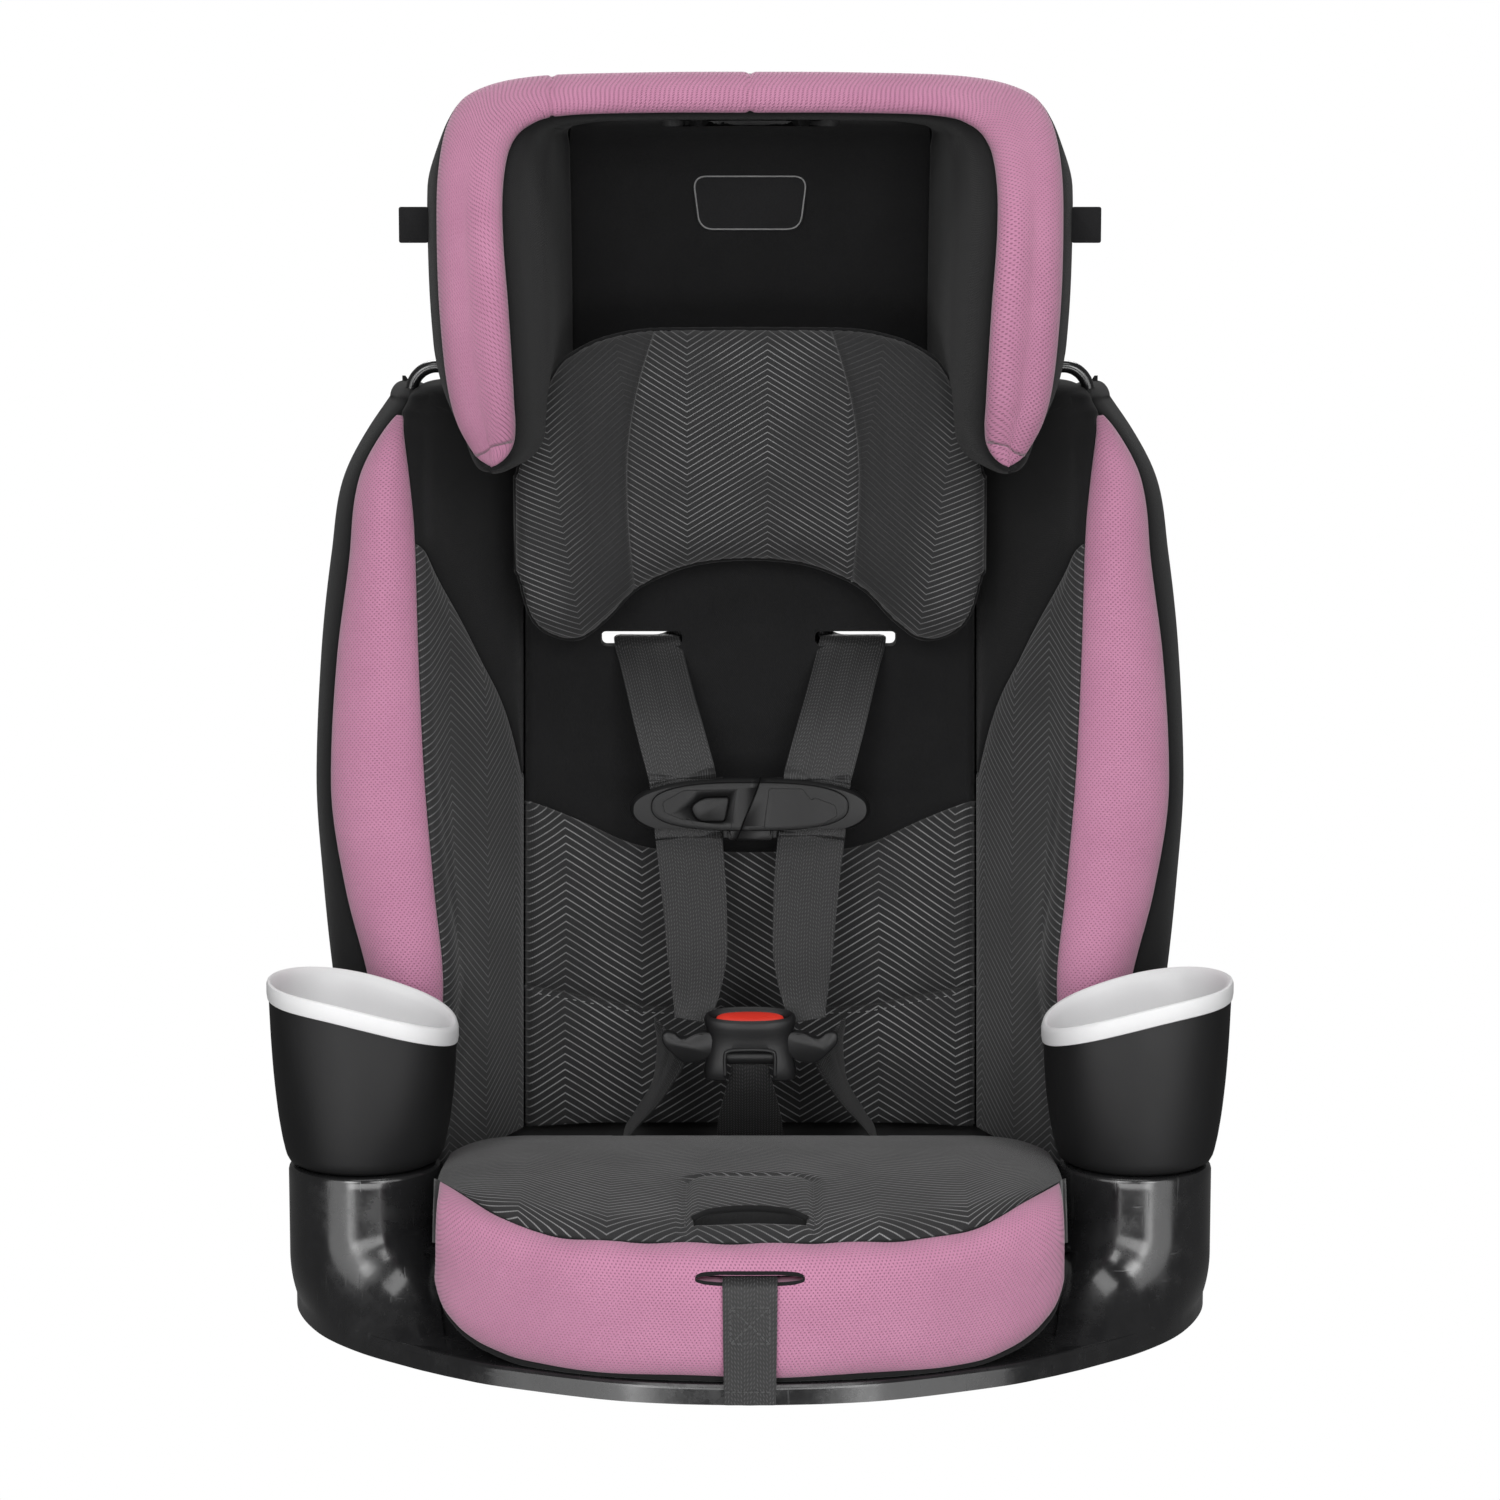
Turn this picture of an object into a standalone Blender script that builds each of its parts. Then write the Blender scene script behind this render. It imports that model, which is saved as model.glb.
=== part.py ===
"""Harnessed booster seat: moulded base, bucket back and winged headrest, padded cover,
two cup holders and a five-point harness.

Metres, +Z up.  The seat faces -Y and +X is its right side as a viewer in front sees it.
The origin is on the floor, under the middle of the seat's bounding box.
"""

import math

import bmesh
import bpy
import numpy as np
from mathutils import Matrix, Vector

# Driving dimensions
FLOOR_FRONT_Y = -0.2365  # front edge of the moulded base
REAR_Y = 0.240  # rear edge of the moulded base
DECK_Z = 0.0445  # top face of the base's seat deck
WALL = 0.003  # thickness of the moulded shells
GAP = 0.0003  # clearance between pieces that touch

COVER = 0.006  # fabric cover with its wadding, on the side bolsters
PAN_PAD = 0.0125  # thickness of the pads on the flat of the back
SHELL_DEPTH = 0.013  # how far the back shell lies behind the visible surface
HEAD_COVER = 0.0022  # fabric cover of the headrest
HEAD_SHELL_DEPTH = 0.0036
PAN_HALF = 0.1346  # half the width of the flat of the back

CUP_X, CUP_Y = 0.2075, -0.075
CUP_FLOOR_Z, CUP_TOP_Z = 0.0870, 0.1700
CUP_FOOT_R, CUP_MOUTH_R = 0.0400, 0.0515
CUP_TILT = 0.115  # the mouth rises by this much for each metre outwards
PEDESTAL_R = 0.0405

WEBBING_W, WEBBING_T = 0.0385, 0.0016
SLOT_X, SLOT_Z = 0.0625, 0.3465
SLOT_HALF = 0.0245  # half the width of a harness slot
STRAP_X = 0.0590  # middle of the webbing where it passes the slot
CLIP_Y, CLIP_Z = 0.0930, 0.2545
BUCKLE_Y, BUCKLE_TOP_Z = 0.0300, 0.1475
BUTTON_FOOT_Z = 0.1380
BUTTON_STROKE = 0.004  # how far the red button goes down
CLIP_BUTTON_STROKE = 0.002  # how far the chest clip's button goes in
STROKE_MARGIN = 0.0008  # room left behind a pressed button
CLIP_TONGUE = 0.0095
LEVER_PIN = (0.0, -0.1800, 0.0600)

SIDES = (("left", -1), ("right", 1))


# ---------------------------------------------------------------- scene and materials

for leftover in list(bpy.data.objects):
    bpy.data.objects.remove(leftover, do_unlink=True)

parts = bpy.data.collections.new("booster_seat")
cutters = bpy.data.collections.new("cutters")
bpy.context.scene.collection.children.link(parts)
bpy.context.scene.collection.children.link(cutters)

FINISHES = {
    "shell_black": ((0.012, 0.012, 0.013), 0.32, 0.0),
    "cover_black": ((0.010, 0.010, 0.011), 0.92, 0.0),
    "cover_chevron": ((0.016, 0.016, 0.018), 0.88, 0.0),
    "cover_pink": ((0.44, 0.19, 0.30), 0.85, 0.0),
    "foam_grey": ((0.30, 0.30, 0.31), 0.90, 0.0),
    "webbing_black": ((0.012, 0.012, 0.013), 0.80, 0.0),
    "cup_grey": ((0.62, 0.62, 0.64), 0.45, 0.0),
    "buckle_black": ((0.010, 0.010, 0.011), 0.38, 0.0),
    "button_red": ((0.85, 0.06, 0.03), 0.35, 0.0),
    "steel": ((0.55, 0.55, 0.57), 0.30, 1.0),
    "badge_grey": ((0.30, 0.30, 0.31), 0.50, 0.0),
}


def material(finish):
    """The Principled material of this finish, made once."""
    made = bpy.data.materials.get(finish)
    if made:
        return made
    colour, roughness, metallic = FINISHES[finish]
    made = bpy.data.materials.new(finish)
    made.use_nodes = True
    shader = made.node_tree.nodes["Principled BSDF"]
    shader.inputs["Base Color"].default_value = (*colour, 1.0)
    shader.inputs["Roughness"].default_value = roughness
    shader.inputs["Metallic"].default_value = metallic
    return made


# ---------------------------------------------------------------- modelling helpers


def add(name, mesh, finish, collection=parts):
    """An object of this mesh, with its own copy of the finish."""
    obj = bpy.data.objects.new(name, mesh)
    collection.objects.link(obj)
    if finish:
        own = material(finish).copy()
        own.name = name + "_" + finish
        mesh.materials.append(own)
    return obj


def mesh_from(bm, name):
    bmesh.ops.recalc_face_normals(bm, faces=bm.faces)
    mesh = bpy.data.meshes.new(name)
    bm.to_mesh(mesh)
    bm.free()
    mesh.shade_smooth()
    mesh.set_sharp_from_angle(angle=math.radians(35))
    return mesh


def grid(bm, rows, close_columns=False):
    """Quads over equal rows of points; the bmesh vertices are returned in the same rows."""
    made = [[bm.verts.new(point) for point in row] for row in rows]
    width = len(rows[0])
    for low, high in zip(made, made[1:]):
        for i in range(width if close_columns else width - 1):
            j = (i + 1) % width
            bm.faces.new((low[i], low[j], high[j], high[i]))
    return made


def sheet(name, rows, start, depth, finish, flip=False):
    """An open surface through the rows, made solid from start to start + depth behind it."""
    bm = bmesh.new()
    grid(bm, rows)
    bmesh.ops.remove_doubles(bm, verts=bm.verts, dist=1e-5)
    if flip:
        bmesh.ops.reverse_faces(bm, faces=bm.faces)
    mesh = bpy.data.meshes.new(name)
    bm.to_mesh(mesh)
    bm.free()
    mesh.shade_smooth()
    obj = add(name, mesh, finish)
    solid = obj.modifiers.new("thickness", "SOLIDIFY")
    solid.thickness = depth
    solid.offset = -(2 * start + depth) / depth
    solid.use_even_offset = True
    return obj


def loft(name, rings, finish):
    """A closed body through rings with equal numbers of points."""
    bm = bmesh.new()
    made = grid(bm, rings, close_columns=True)
    bm.faces.new(made[0])
    bm.faces.new(made[-1])
    bmesh.ops.remove_doubles(bm, verts=bm.verts, dist=1e-6)
    return add(name, mesh_from(bm, name), finish)


def box(name, low, high, finish=None, bevel=0.0, segments=2, tilt=0.0):
    """A box between two corners, turned by tilt about its own X axis, with rounded edges."""
    low, high = Vector(low), Vector(high)
    bpy.ops.mesh.primitive_cube_add(size=1.0)
    obj = bpy.context.object
    obj.name = name
    obj.data.name = name
    obj.data.transform(Matrix.Diagonal((*(high - low), 1.0)))
    obj.location = (low + high) / 2
    obj.rotation_euler.x = tilt
    for collection in list(obj.users_collection):
        collection.objects.unlink(obj)
    if finish is None:
        hide_as_cutter(obj)
        return obj
    parts.objects.link(obj)
    obj.data.materials.append(material(finish).copy())
    if bevel:
        rounding = obj.modifiers.new("rounding", "BEVEL")
        rounding.width = bevel
        rounding.segments = segments
    return obj


def hide_as_cutter(obj):
    cutters.objects.link(obj)
    obj.hide_render = True
    obj.display_type = "WIRE"


def boolean(obj, other, operation="DIFFERENCE"):
    cut = obj.modifiers.new(operation.lower() + "_" + other.name, "BOOLEAN")
    cut.operation = operation
    cut.solver = "EXACT"
    cut.object = other


def cut_box(obj, name, low, high):
    boolean(obj, box(name, low, high))


def cylinder(name, centre, radius, depth, finish=None, axis="Z", sides=24):
    """A cylinder along axis, centred on a point."""
    bpy.ops.mesh.primitive_cylinder_add(vertices=sides, radius=radius, depth=depth)
    obj = bpy.context.object
    obj.name = name
    obj.data.name = name
    turn = {"X": Matrix.Rotation(math.pi / 2, 4, "Y"), "Y": Matrix.Rotation(math.pi / 2, 4, "X")}
    if axis in turn:
        obj.data.transform(turn[axis])
    obj.location = centre
    for collection in list(obj.users_collection):
        collection.objects.unlink(obj)
    if finish is None:
        hide_as_cutter(obj)
        return obj
    parts.objects.link(obj)
    obj.data.materials.append(material(finish).copy())
    obj.data.shade_smooth()
    obj.data.set_sharp_from_angle(angle=math.radians(35))
    return obj


def turned(name, centre, profile, finish, steps=28):
    """A profile of (radius, height), from its outer top to its inner end, spun about Z."""
    mesh = bpy.data.meshes.new(name)
    points = [(radius, 0.0, height) for radius, height in profile]
    mesh.from_pydata(points, [(i, i + 1) for i in range(len(points) - 1)], [])
    obj = add(name, mesh, finish) if finish else add(name, mesh, None, cutters)
    obj.location = centre
    spin = obj.modifiers.new("spin", "SCREW")
    spin.steps = steps
    spin.render_steps = steps
    spin.use_merge_vertices = True
    spin.merge_threshold = 1e-5
    return obj


def tube(name, points, radius, finish):
    """A bent rod along the points."""
    line = bpy.data.curves.new(name, "CURVE")
    line.dimensions = "3D"
    line.bevel_depth = radius
    line.bevel_resolution = 2
    line.use_fill_caps = True
    spline = line.splines.new("POLY")
    spline.points.add(len(points) - 1)
    for knot, point in zip(spline.points, points):
        knot.co = (*point, 1.0)
    obj = bpy.data.objects.new(name, line)
    parts.objects.link(obj)
    line.materials.append(material(finish).copy())
    return obj


def strap(name, route, finish="webbing_black", half_width=WEBBING_W / 2, thickness=WEBBING_T):
    """Flat webbing along a route of (centre, direction of its width)."""
    rows = []
    for centre, across in route:
        side = Vector(across).normalized() * half_width
        rows.append([Vector(centre) - side, Vector(centre), Vector(centre) + side])
    return sheet(name, rows, -thickness / 2, thickness, finish)


def set_origin(obj, point):
    """Puts the object's origin on a point without moving its shape."""
    point = Vector(point)
    obj.data.transform(Matrix.Translation(obj.location - point))
    obj.location = point


def mirrored(points, side):
    return [(side * x, y, z) for x, y, z in points]


def lerp(a, b, t):
    return a + (b - a) * t


# ---------------------------------------------------------------- visible surface of the back

# Each level of the bucket, from the deck to the shoulder: height, front of the bolster,
# inner and outer edge of the bolster's front band, and the outer side.
LEVELS = np.array(
    [
        (0.0460, -0.010, 0.158, 0.200, 0.2180),
        (0.0700, -0.012, 0.159, 0.201, 0.2200),
        (0.1200, -0.012, 0.162, 0.203, 0.2260),
        (0.1700, -0.010, 0.1675, 0.208, 0.2325),
        (0.2200, 0.000, 0.1740, 0.222, 0.2400),
        (0.2800, 0.013, 0.1797, 0.2345, 0.2453),
        (0.3450, 0.034, 0.1845, 0.2335, 0.2440),
        (0.4000, 0.050, 0.1887, 0.2265, 0.2390),
        (0.4420, 0.069, 0.1903, 0.2200, 0.2310),
        (0.4680, 0.090, 0.1900, 0.2110, 0.2190),
        (0.4860, 0.118, 0.1860, 0.2010, 0.2080),
    ]
)
SIDE_REAR_Y = 0.205


def back_y(z):
    """The flat of the back leans away from the seat."""
    return 0.105 + 0.14 * (z - 0.060)


def bucket_row(z):
    """Half a level section of the visible surface: the flat of the back, the inner face of
    the bolster, its front band and its outer side."""
    front, band_in, band_out, outer = (
        float(np.interp(z, LEVELS[:, 0], LEVELS[:, k])) for k in (1, 2, 3, 4)
    )
    corner_y = back_y(z) - 0.012
    return [
        (0.0, back_y(z), z),
        (0.050, back_y(z), z),
        (0.090, back_y(z), z),
        (0.120, back_y(z) - 0.003, z),
        (PAN_HALF, corner_y, z),
        (lerp(PAN_HALF, band_in, 0.45), lerp(corner_y, front, 0.36), z),
        (lerp(PAN_HALF, band_in, 0.85), lerp(corner_y, front, 0.72), z),
        (band_in, front + 0.008, z),
        ((band_in + band_out) / 2, front, z),
        (band_out, front + 0.012, z),
        (outer, front + 0.045, z),
        (outer + 0.001, (front + SIDE_REAR_Y) / 2 + 0.02, z),
        (outer - 0.003, SIDE_REAR_Y, z),
    ]


PAN_COLUMNS = 4
BUCKET_COLUMNS = 12


def bucket(z_values, first, last, side):
    """Rows of the visible surface between two columns, on one side of the seat."""
    return [mirrored(bucket_row(z)[first : last + 1], side) for z in z_values]


def whole_bucket(z_values, last):
    rows = []
    for z in z_values:
        half = bucket_row(z)[: last + 1]
        rows.append(mirrored(half[:0:-1], -1) + half)
    return rows


def between(low, high):
    """The level heights inside a range, with its two ends."""
    inside = [z for z in LEVELS[:, 0] if low + 0.006 < z < high - 0.006]
    return [low, *inside, high]


def make_back():
    shell = sheet(
        "back_shell",
        whole_bucket(between(0.0475, 0.4420), BUCKET_COLUMNS),
        SHELL_DEPTH,
        WALL,
        "shell_black",
    )
    upper = sheet(
        "back_pad_upper",
        whole_bucket(between(0.2470, 0.4660), PAN_COLUMNS - 1),
        0.0,
        PAN_PAD - GAP,
        "cover_black",
    )
    sheet(
        "lumbar_pad",
        whole_bucket(between(0.1480, 0.2464), PAN_COLUMNS - 1),
        -0.006,
        PAN_PAD + 0.006 - GAP,
        "cover_chevron",
    )
    sheet(
        "lower_back_pad",
        whole_bucket(between(0.0660, 0.1474), PAN_COLUMNS - 1),
        0.0,
        PAN_PAD - GAP,
        "cover_chevron",
    )
    for name, side in SIDES:
        sheet(
            "bolster_pad_" + name,
            bucket(between(0.0660, 0.4860), PAN_COLUMNS, BUCKET_COLUMNS - 1, side),
            0.0,
            COVER - GAP,
            "cover_pink",
            flip=side < 0,
        )
        slot_low = (side * SLOT_X - SLOT_HALF, 0.100, SLOT_Z - 0.0065)
        slot_high = (side * SLOT_X + SLOT_HALF, 0.200, SLOT_Z + 0.0065)
        for piece in (upper, shell):
            cut_box(piece, f"harness_slot_{name}_{piece.name}", slot_low, slot_high)
        window_x = sorted((side * 0.195, side * 0.300))
        cut_box(
            shell,
            "belt_path_" + name,
            (window_x[0], 0.090, 0.085),
            (window_x[1], 0.165, 0.150),
        )
    for level, z in {"lower": 0.1650, "upper": 0.3950}.items():
        front = back_y(z) + SHELL_DEPTH + WALL + 0.001
        half = float(np.interp(z, LEVELS[:, 0], LEVELS[:, 4])) - 0.003 - SHELL_DEPTH - WALL - 0.002
        brace = box(
            "rear_brace_" + level,
            (-half, front, z - 0.0015),
            (half, SIDE_REAR_Y - 0.001, z + 0.0015),
            "shell_black",
            bevel=0.0008,
            segments=1,
        )
        cut_box(brace, "strap_gap_" + level, (-0.0215, 0.1540, 0.0), (0.0215, 0.1740, 0.3))


# ---------------------------------------------------------------- headrest

# From the foot of the wing, up and over to the middle of the top: inner front edge, outer
# front edge and the seam between the wing and the back of the headrest.
HEAD_ARC = (
    ((0.1310, 0.030, 0.470), (0.1560, 0.036, 0.462), (0.1046, 0.178, 0.472)),
    ((0.1315, 0.020, 0.500), (0.1700, 0.030, 0.492), (0.1046, 0.181, 0.500)),
    ((0.1335, 0.018, 0.540), (0.1765, 0.030, 0.535), (0.1046, 0.185, 0.540)),
    ((0.1365, 0.025, 0.580), (0.1785, 0.040, 0.580), (0.1050, 0.189, 0.580)),
    ((0.1370, 0.045, 0.610), (0.1780, 0.058, 0.617), (0.1052, 0.193, 0.608)),
    ((0.1330, 0.065, 0.631), (0.1710, 0.082, 0.644), (0.1046, 0.195, 0.626)),
    ((0.1220, 0.080, 0.643), (0.1570, 0.100, 0.6585), (0.0980, 0.197, 0.637)),
    ((0.1020, 0.090, 0.6485), (0.1230, 0.112, 0.6665), (0.0800, 0.198, 0.642)),
    ((0.0550, 0.097, 0.6500), (0.0620, 0.118, 0.6690), (0.0430, 0.199, 0.644)),
    ((0.0000, 0.099, 0.6500), (0.0000, 0.120, 0.6695), (0.0000, 0.199, 0.6445)),
)
HEAD_REAR_Y = 0.217
SEAM, INNER, OUTER, REAR = 2, 4, 6, 8


def head_row(index):
    """One row of the headrest's visible surface, from its middle line to the outer rear."""
    inner, outer, seam = (Vector(point) for point in HEAD_ARC[index])
    middle = (inner + outer) / 2 + Vector((0.0, -0.009, 0.0))
    rear = Vector((outer.x * 0.975, HEAD_REAR_Y, max(outer.z - 0.004, 0.360 + 0.30 * outer.z)))
    side = (outer + rear) / 2
    side.z = lerp(outer.z, rear.z, 0.7)
    centre = Vector((0.0, seam.y, seam.z))
    return [
        centre,
        (centre + seam) / 2,
        seam,
        (seam + inner) / 2,
        inner,
        middle,
        outer,
        side,
        rear,
    ]


def head_rows(first, last):
    return [head_row(i)[first : last + 1] for i in range(len(HEAD_ARC))]


def over_the_top(first, last):
    """Rows along the whole arc of the headrest, from the foot of one wing to the other."""
    right = head_rows(first, last)
    left = [[Vector((-p.x, p.y, p.z)) for p in row] for row in right]
    return left + right[-2::-1]


def inset_ends(row, k, margin=0.004):
    """Point k of a row of three, with the two end points moved towards the middle one."""
    if k == 1:
        return row[1]
    return row[k] + (row[1] - row[k]).normalized() * margin


def make_head():
    centre_rows = []
    for row in head_rows(0, SEAM)[:-1]:
        left = [Vector((-p.x, p.y, p.z)) for p in row[:0:-1]]
        centre_rows.append(left + row)
    sheet("head_center_pad", centre_rows, 0.0, HEAD_COVER, "cover_black")

    sheet("head_trim", over_the_top(INNER, OUTER), 0.0, HEAD_COVER, "cover_pink", flip=True)
    for name, first, last in (("head_lining", SEAM, INNER), ("head_outer_cover", OUTER, REAR)):
        rows = [[inset_ends(row, k) for k in range(3)] for row in over_the_top(first, last)]
        sheet(name, rows, 0.0, HEAD_COVER, "cover_black", flip=True)

    shell_rows = over_the_top(0, REAR)
    sheet("head_shell", shell_rows, HEAD_SHELL_DEPTH, WALL, "shell_black", flip=True)

    for name, side in SIDES:
        rings = []
        for index in (1, 2, 3, 4):
            inner, outer, seam = (Vector(point) for point in HEAD_ARC[index])
            depth = HEAD_SHELL_DEPTH + WALL + 0.0058
            rear = Vector((outer.x * 0.975, HEAD_REAR_Y, outer.z))
            a = inner.lerp(seam, 0.14) + Vector((depth, 0.0, 0.0))
            b = inner.lerp(seam, 0.62) + Vector((depth, 0.0, 0.0))
            c = outer.lerp(rear, 0.52) - Vector((depth, 0.0, 0.0))
            d = outer.lerp(rear, 0.08) - Vector((depth, 0.0, 0.0))
            z = inner.z
            rings.append([(side * p.x, p.y, z) for p in (a, b, c, d)])
        loft("head_foam_" + name, rings, "foam_grey")


def make_neck():
    """The panel that joins the headrest's shell to the back shell."""
    low, high = 0.4250, 0.5450
    lean = math.atan(0.14)
    middle_y = back_y((low + high) / 2) + SHELL_DEPTH + WALL + 0.0080
    box("neck_panel", (-0.1000, middle_y - 0.0015, low), (0.1000, middle_y + 0.0015, high),
        "shell_black", bevel=0.0008, segments=1, tilt=-lean)


# Half sections of the pillow: x, top, bottom, front and back.
PILLOW = (
    (0.0000, 0.5260, 0.3950, 0.1150, 0.1470),
    (0.0500, 0.5260, 0.3920, 0.1130, 0.1470),
    (0.0750, 0.5220, 0.3660, 0.1060, 0.1440),
    (0.0950, 0.5140, 0.3540, 0.0990, 0.1380),
    (0.1060, 0.4960, 0.3560, 0.0950, 0.1280),
    (0.1160, 0.4600, 0.3620, 0.0910, 0.1240),
    (0.1335, 0.4440, 0.3920, 0.0860, 0.1120),
)


def make_pillow():
    rings = []
    for x, top, bottom, front, rear in [(-s[0], *s[1:]) for s in PILLOW[:0:-1]] + list(PILLOW):
        middle = (front + rear) / 2
        height = top - bottom
        rings.append(
            [
                (x, middle, bottom),
                (x, front + 0.004, bottom + 0.12 * height),
                (x, front, bottom + 0.5 * height),
                (x, front + 0.004, top - 0.12 * height),
                (x, middle, top),
                (x, rear, top - 0.15 * height),
                (x, rear, bottom + 0.15 * height),
            ]
        )
    loft("head_pillow", rings, "cover_chevron")


def make_labels():
    """A plain badge patch on the headrest and a plain tag on the edge of each wing."""
    y, z = 0.1864, 0.6010
    box(
        "head_badge",
        (-0.0345, y, z - 0.0175),
        (0.0345, y + 0.0012, z + 0.0175),
        "badge_grey",
        tilt=math.radians(-6.0),
    )
    for name, side in SIDES:
        xs = sorted((side * 0.1796, side * 0.1960))
        box(
            "side_tag_" + name,
            (xs[0], 0.0690, 0.5860),
            (xs[1], 0.0702, 0.6060),
            "badge_grey",
        )


# ---------------------------------------------------------------- moulded base

# Half of the base's outline on the floor, front to rear, with the kind of wall above it.
OUTLINE = (
    (0.0000, FLOOR_FRONT_Y, "apron"),
    (0.0400, -0.2335, "apron"),
    (0.0760, -0.2255, "apron"),
    (0.1270, -0.2040, "apron"),
    (0.1500, -0.1900, "apron"),
    (0.1650, -0.1790, "apron"),
    (0.1760, -0.1700, "corner"),
    (0.2020, -0.1460, "corner"),
    (0.2230, -0.1190, "corner"),
    (0.2360, -0.0930, "corner"),
    (0.2450, -0.0650, "shoulder"),
    (0.2490, -0.0400, "shoulder"),
    (0.2510, -0.0100, "side"),
    (0.2520, 0.0600, "side"),
    (0.2510, 0.1600, "side"),
    (0.2420, 0.2050, "side"),
    (0.2180, 0.2320, "side"),
    (0.1800, REAR_Y, "side"),
    (0.0900, REAR_Y, "side"),
    (0.0000, REAR_Y, "side"),
)

# For each kind of wall, (distance inwards, height) from the floor to the deck.
WALLS = {
    "apron": ((0.0, 0.0), (0.0005, 0.0105), (0.0210, 0.0125), (0.0215, 0.0380), (0.0240, DECK_Z)),
    "corner": ((0.0, 0.0), (0.0005, 0.0105), (0.0120, 0.0150), (0.0210, 0.0260), (0.0280, DECK_Z)),
    "shoulder": ((0.0, 0.0), (0.0005, 0.0300), (0.0080, 0.0400), (0.0160, 0.0435), (0.0240, DECK_Z)),
    "side": ((0.0, 0.0), (0.0, 0.0800), (0.0045, 0.0850), (0.0110, 0.0780), (0.0140, DECK_Z)),
}
DECK_INSET = 0.050


def inwards(x, y, distance):
    """The point this far inside the outline, towards the middle of the base."""
    length = math.hypot(x, y * 1.05)
    return x - distance * x / length, y - distance * y / length


LAP_SLOT_X = (0.0600, 0.0890)
CROTCH_SLOT_Y = (0.0570, 0.0830)


def make_base():
    stations = list(OUTLINE)
    stations += [(-x, y, kind) for x, y, kind in OUTLINE[-2:0:-1]]
    rings = []
    for level in range(5):
        ring = []
        for x, y, kind in stations:
            distance, z = WALLS[kind][level]
            ring.append((*inwards(x, y, distance), max(z, GAP)))
        rings.append(ring)
    rings.append([(*inwards(x, y, DECK_INSET), DECK_Z) for x, y, _ in stations])
    bm = bmesh.new()
    made = grid(bm, rings, close_columns=True)
    middle = bm.verts.new((0.0, 0.0, DECK_Z))
    for here, after in zip(made[-1], made[-1][1:] + made[-1][:1]):
        bm.faces.new((here, after, middle))
    bmesh.ops.recalc_face_normals(bm, faces=bm.faces)
    mesh = bpy.data.meshes.new("base_shell")
    bm.to_mesh(mesh)
    bm.free()
    mesh.shade_smooth()
    mesh.set_sharp_from_angle(angle=math.radians(40))
    base = add("base_shell", mesh, "shell_black")
    solid = base.modifiers.new("thickness", "SOLIDIFY")
    solid.thickness = WALL
    solid.offset = -1.0
    solid.use_even_offset = True

    top = CUP_FLOOR_Z - GAP
    inside = PEDESTAL_R - WALL
    profile = (
        (0.0, top),
        (PEDESTAL_R - 0.002, top),
        (PEDESTAL_R, top - 0.002),
        (PEDESTAL_R, 0.0420),
        (PEDESTAL_R + 0.0020, 0.0280),
        (PEDESTAL_R + 0.0020, 0.0000),
        (inside + 0.0020, 0.0000),
        (inside, 0.0280),
        (inside, top - WALL),
        (0.0, top - WALL),
    )
    room = (
        (0.0, 0.2),
        (PEDESTAL_R + GAP, 0.2),
        (PEDESTAL_R + GAP, 0.0420),
        (PEDESTAL_R + 0.0020 + GAP, 0.0280),
        (PEDESTAL_R + 0.0020 + GAP, -0.01),
        (0.0, -0.01),
    )
    for name, side in SIDES:
        centre = (side * CUP_X, CUP_Y, 0.0)
        cutter = turned("pedestal_room_" + name, centre, room, None, steps=24)
        cutter.hide_render = True
        cutter.display_type = "WIRE"
        boolean(base, cutter)
        turned("cup_pedestal_" + name, centre, profile, "shell_black", steps=24)
        lap_x = sorted((side * LAP_SLOT_X[0], side * LAP_SLOT_X[1]))
        cut_box(base, "lap_slot_base_" + name, (lap_x[0], 0.046, 0.0), (lap_x[1], 0.094, 0.1))
    cut_box(base, "crotch_slot_base", (-0.0230, CROTCH_SLOT_Y[0], 0.0), (0.0230, CROTCH_SLOT_Y[1], 0.1))
    cut_box(base, "adjuster_slot_rear", (-0.0230, 0.1500, 0.0), (0.0230, 0.1680, 0.1))
    cut_box(base, "adjuster_slot_front", (-0.0230, -0.1640, 0.03), (0.0230, -0.1500, 0.1))


BASE_SPLIT_X = 0.1500


def split_base():
    """The base is three nodes that meet at two upright planes: its middle and its two sides."""
    base = bpy.data.objects["base_shell"]
    far = 0.5
    for name, side in SIDES:
        flank = base.copy()
        flank.data = base.data.copy()
        flank.name = "base_side_" + name
        parts.objects.link(flank)
        middle = sorted((-side * far, side * (BASE_SPLIT_X + GAP)))
        cut_box(flank, "middle_of_" + flank.name, (middle[0], -far, -far), (middle[1], far, far))
        outside = sorted((side * BASE_SPLIT_X, side * far))
        cut_box(base, "outside_" + name, (outside[0], -far, -far), (outside[1], far, far))


# ---------------------------------------------------------------- seat cushion

# Half of the cushion, from its middle to its side: x, front seam, rear edge and seam height.
CUSHION = (
    (0.0000, -0.1950, 0.0880, 0.0790),
    (0.0120, -0.1965, 0.0880, 0.0790),
    (0.0230, -0.2020, 0.0880, 0.0790),
    (0.0300, -0.2150, 0.0880, 0.0790),
    (0.0600, -0.2130, 0.0880, 0.0790),
    (0.0900, -0.2050, 0.0880, 0.0795),
    (0.1150, -0.1930, 0.0880, 0.0800),
    (0.1300, -0.1820, 0.0860, 0.0810),
    (0.1400, -0.1720, 0.0560, 0.0820),
    (0.1500, -0.1580, 0.0150, 0.0835),
    (0.1570, -0.1450, -0.0180, 0.0850),
    (0.1620, -0.1350, -0.0350, 0.0860),
)
PAD_BOTTOM_Z = 0.0580


def cushion_top(x, y):
    """Height of the cushion: low at the back, highest over the front third."""
    along = (0.088 - y) / 0.303
    rise = 0.0265 * math.sin(min(along / 0.72, 1.0) * math.pi / 2)
    fall = 0.0090 * max(0.0, (along - 0.72) / 0.28) ** 2
    return 0.0625 + rise - fall


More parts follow.
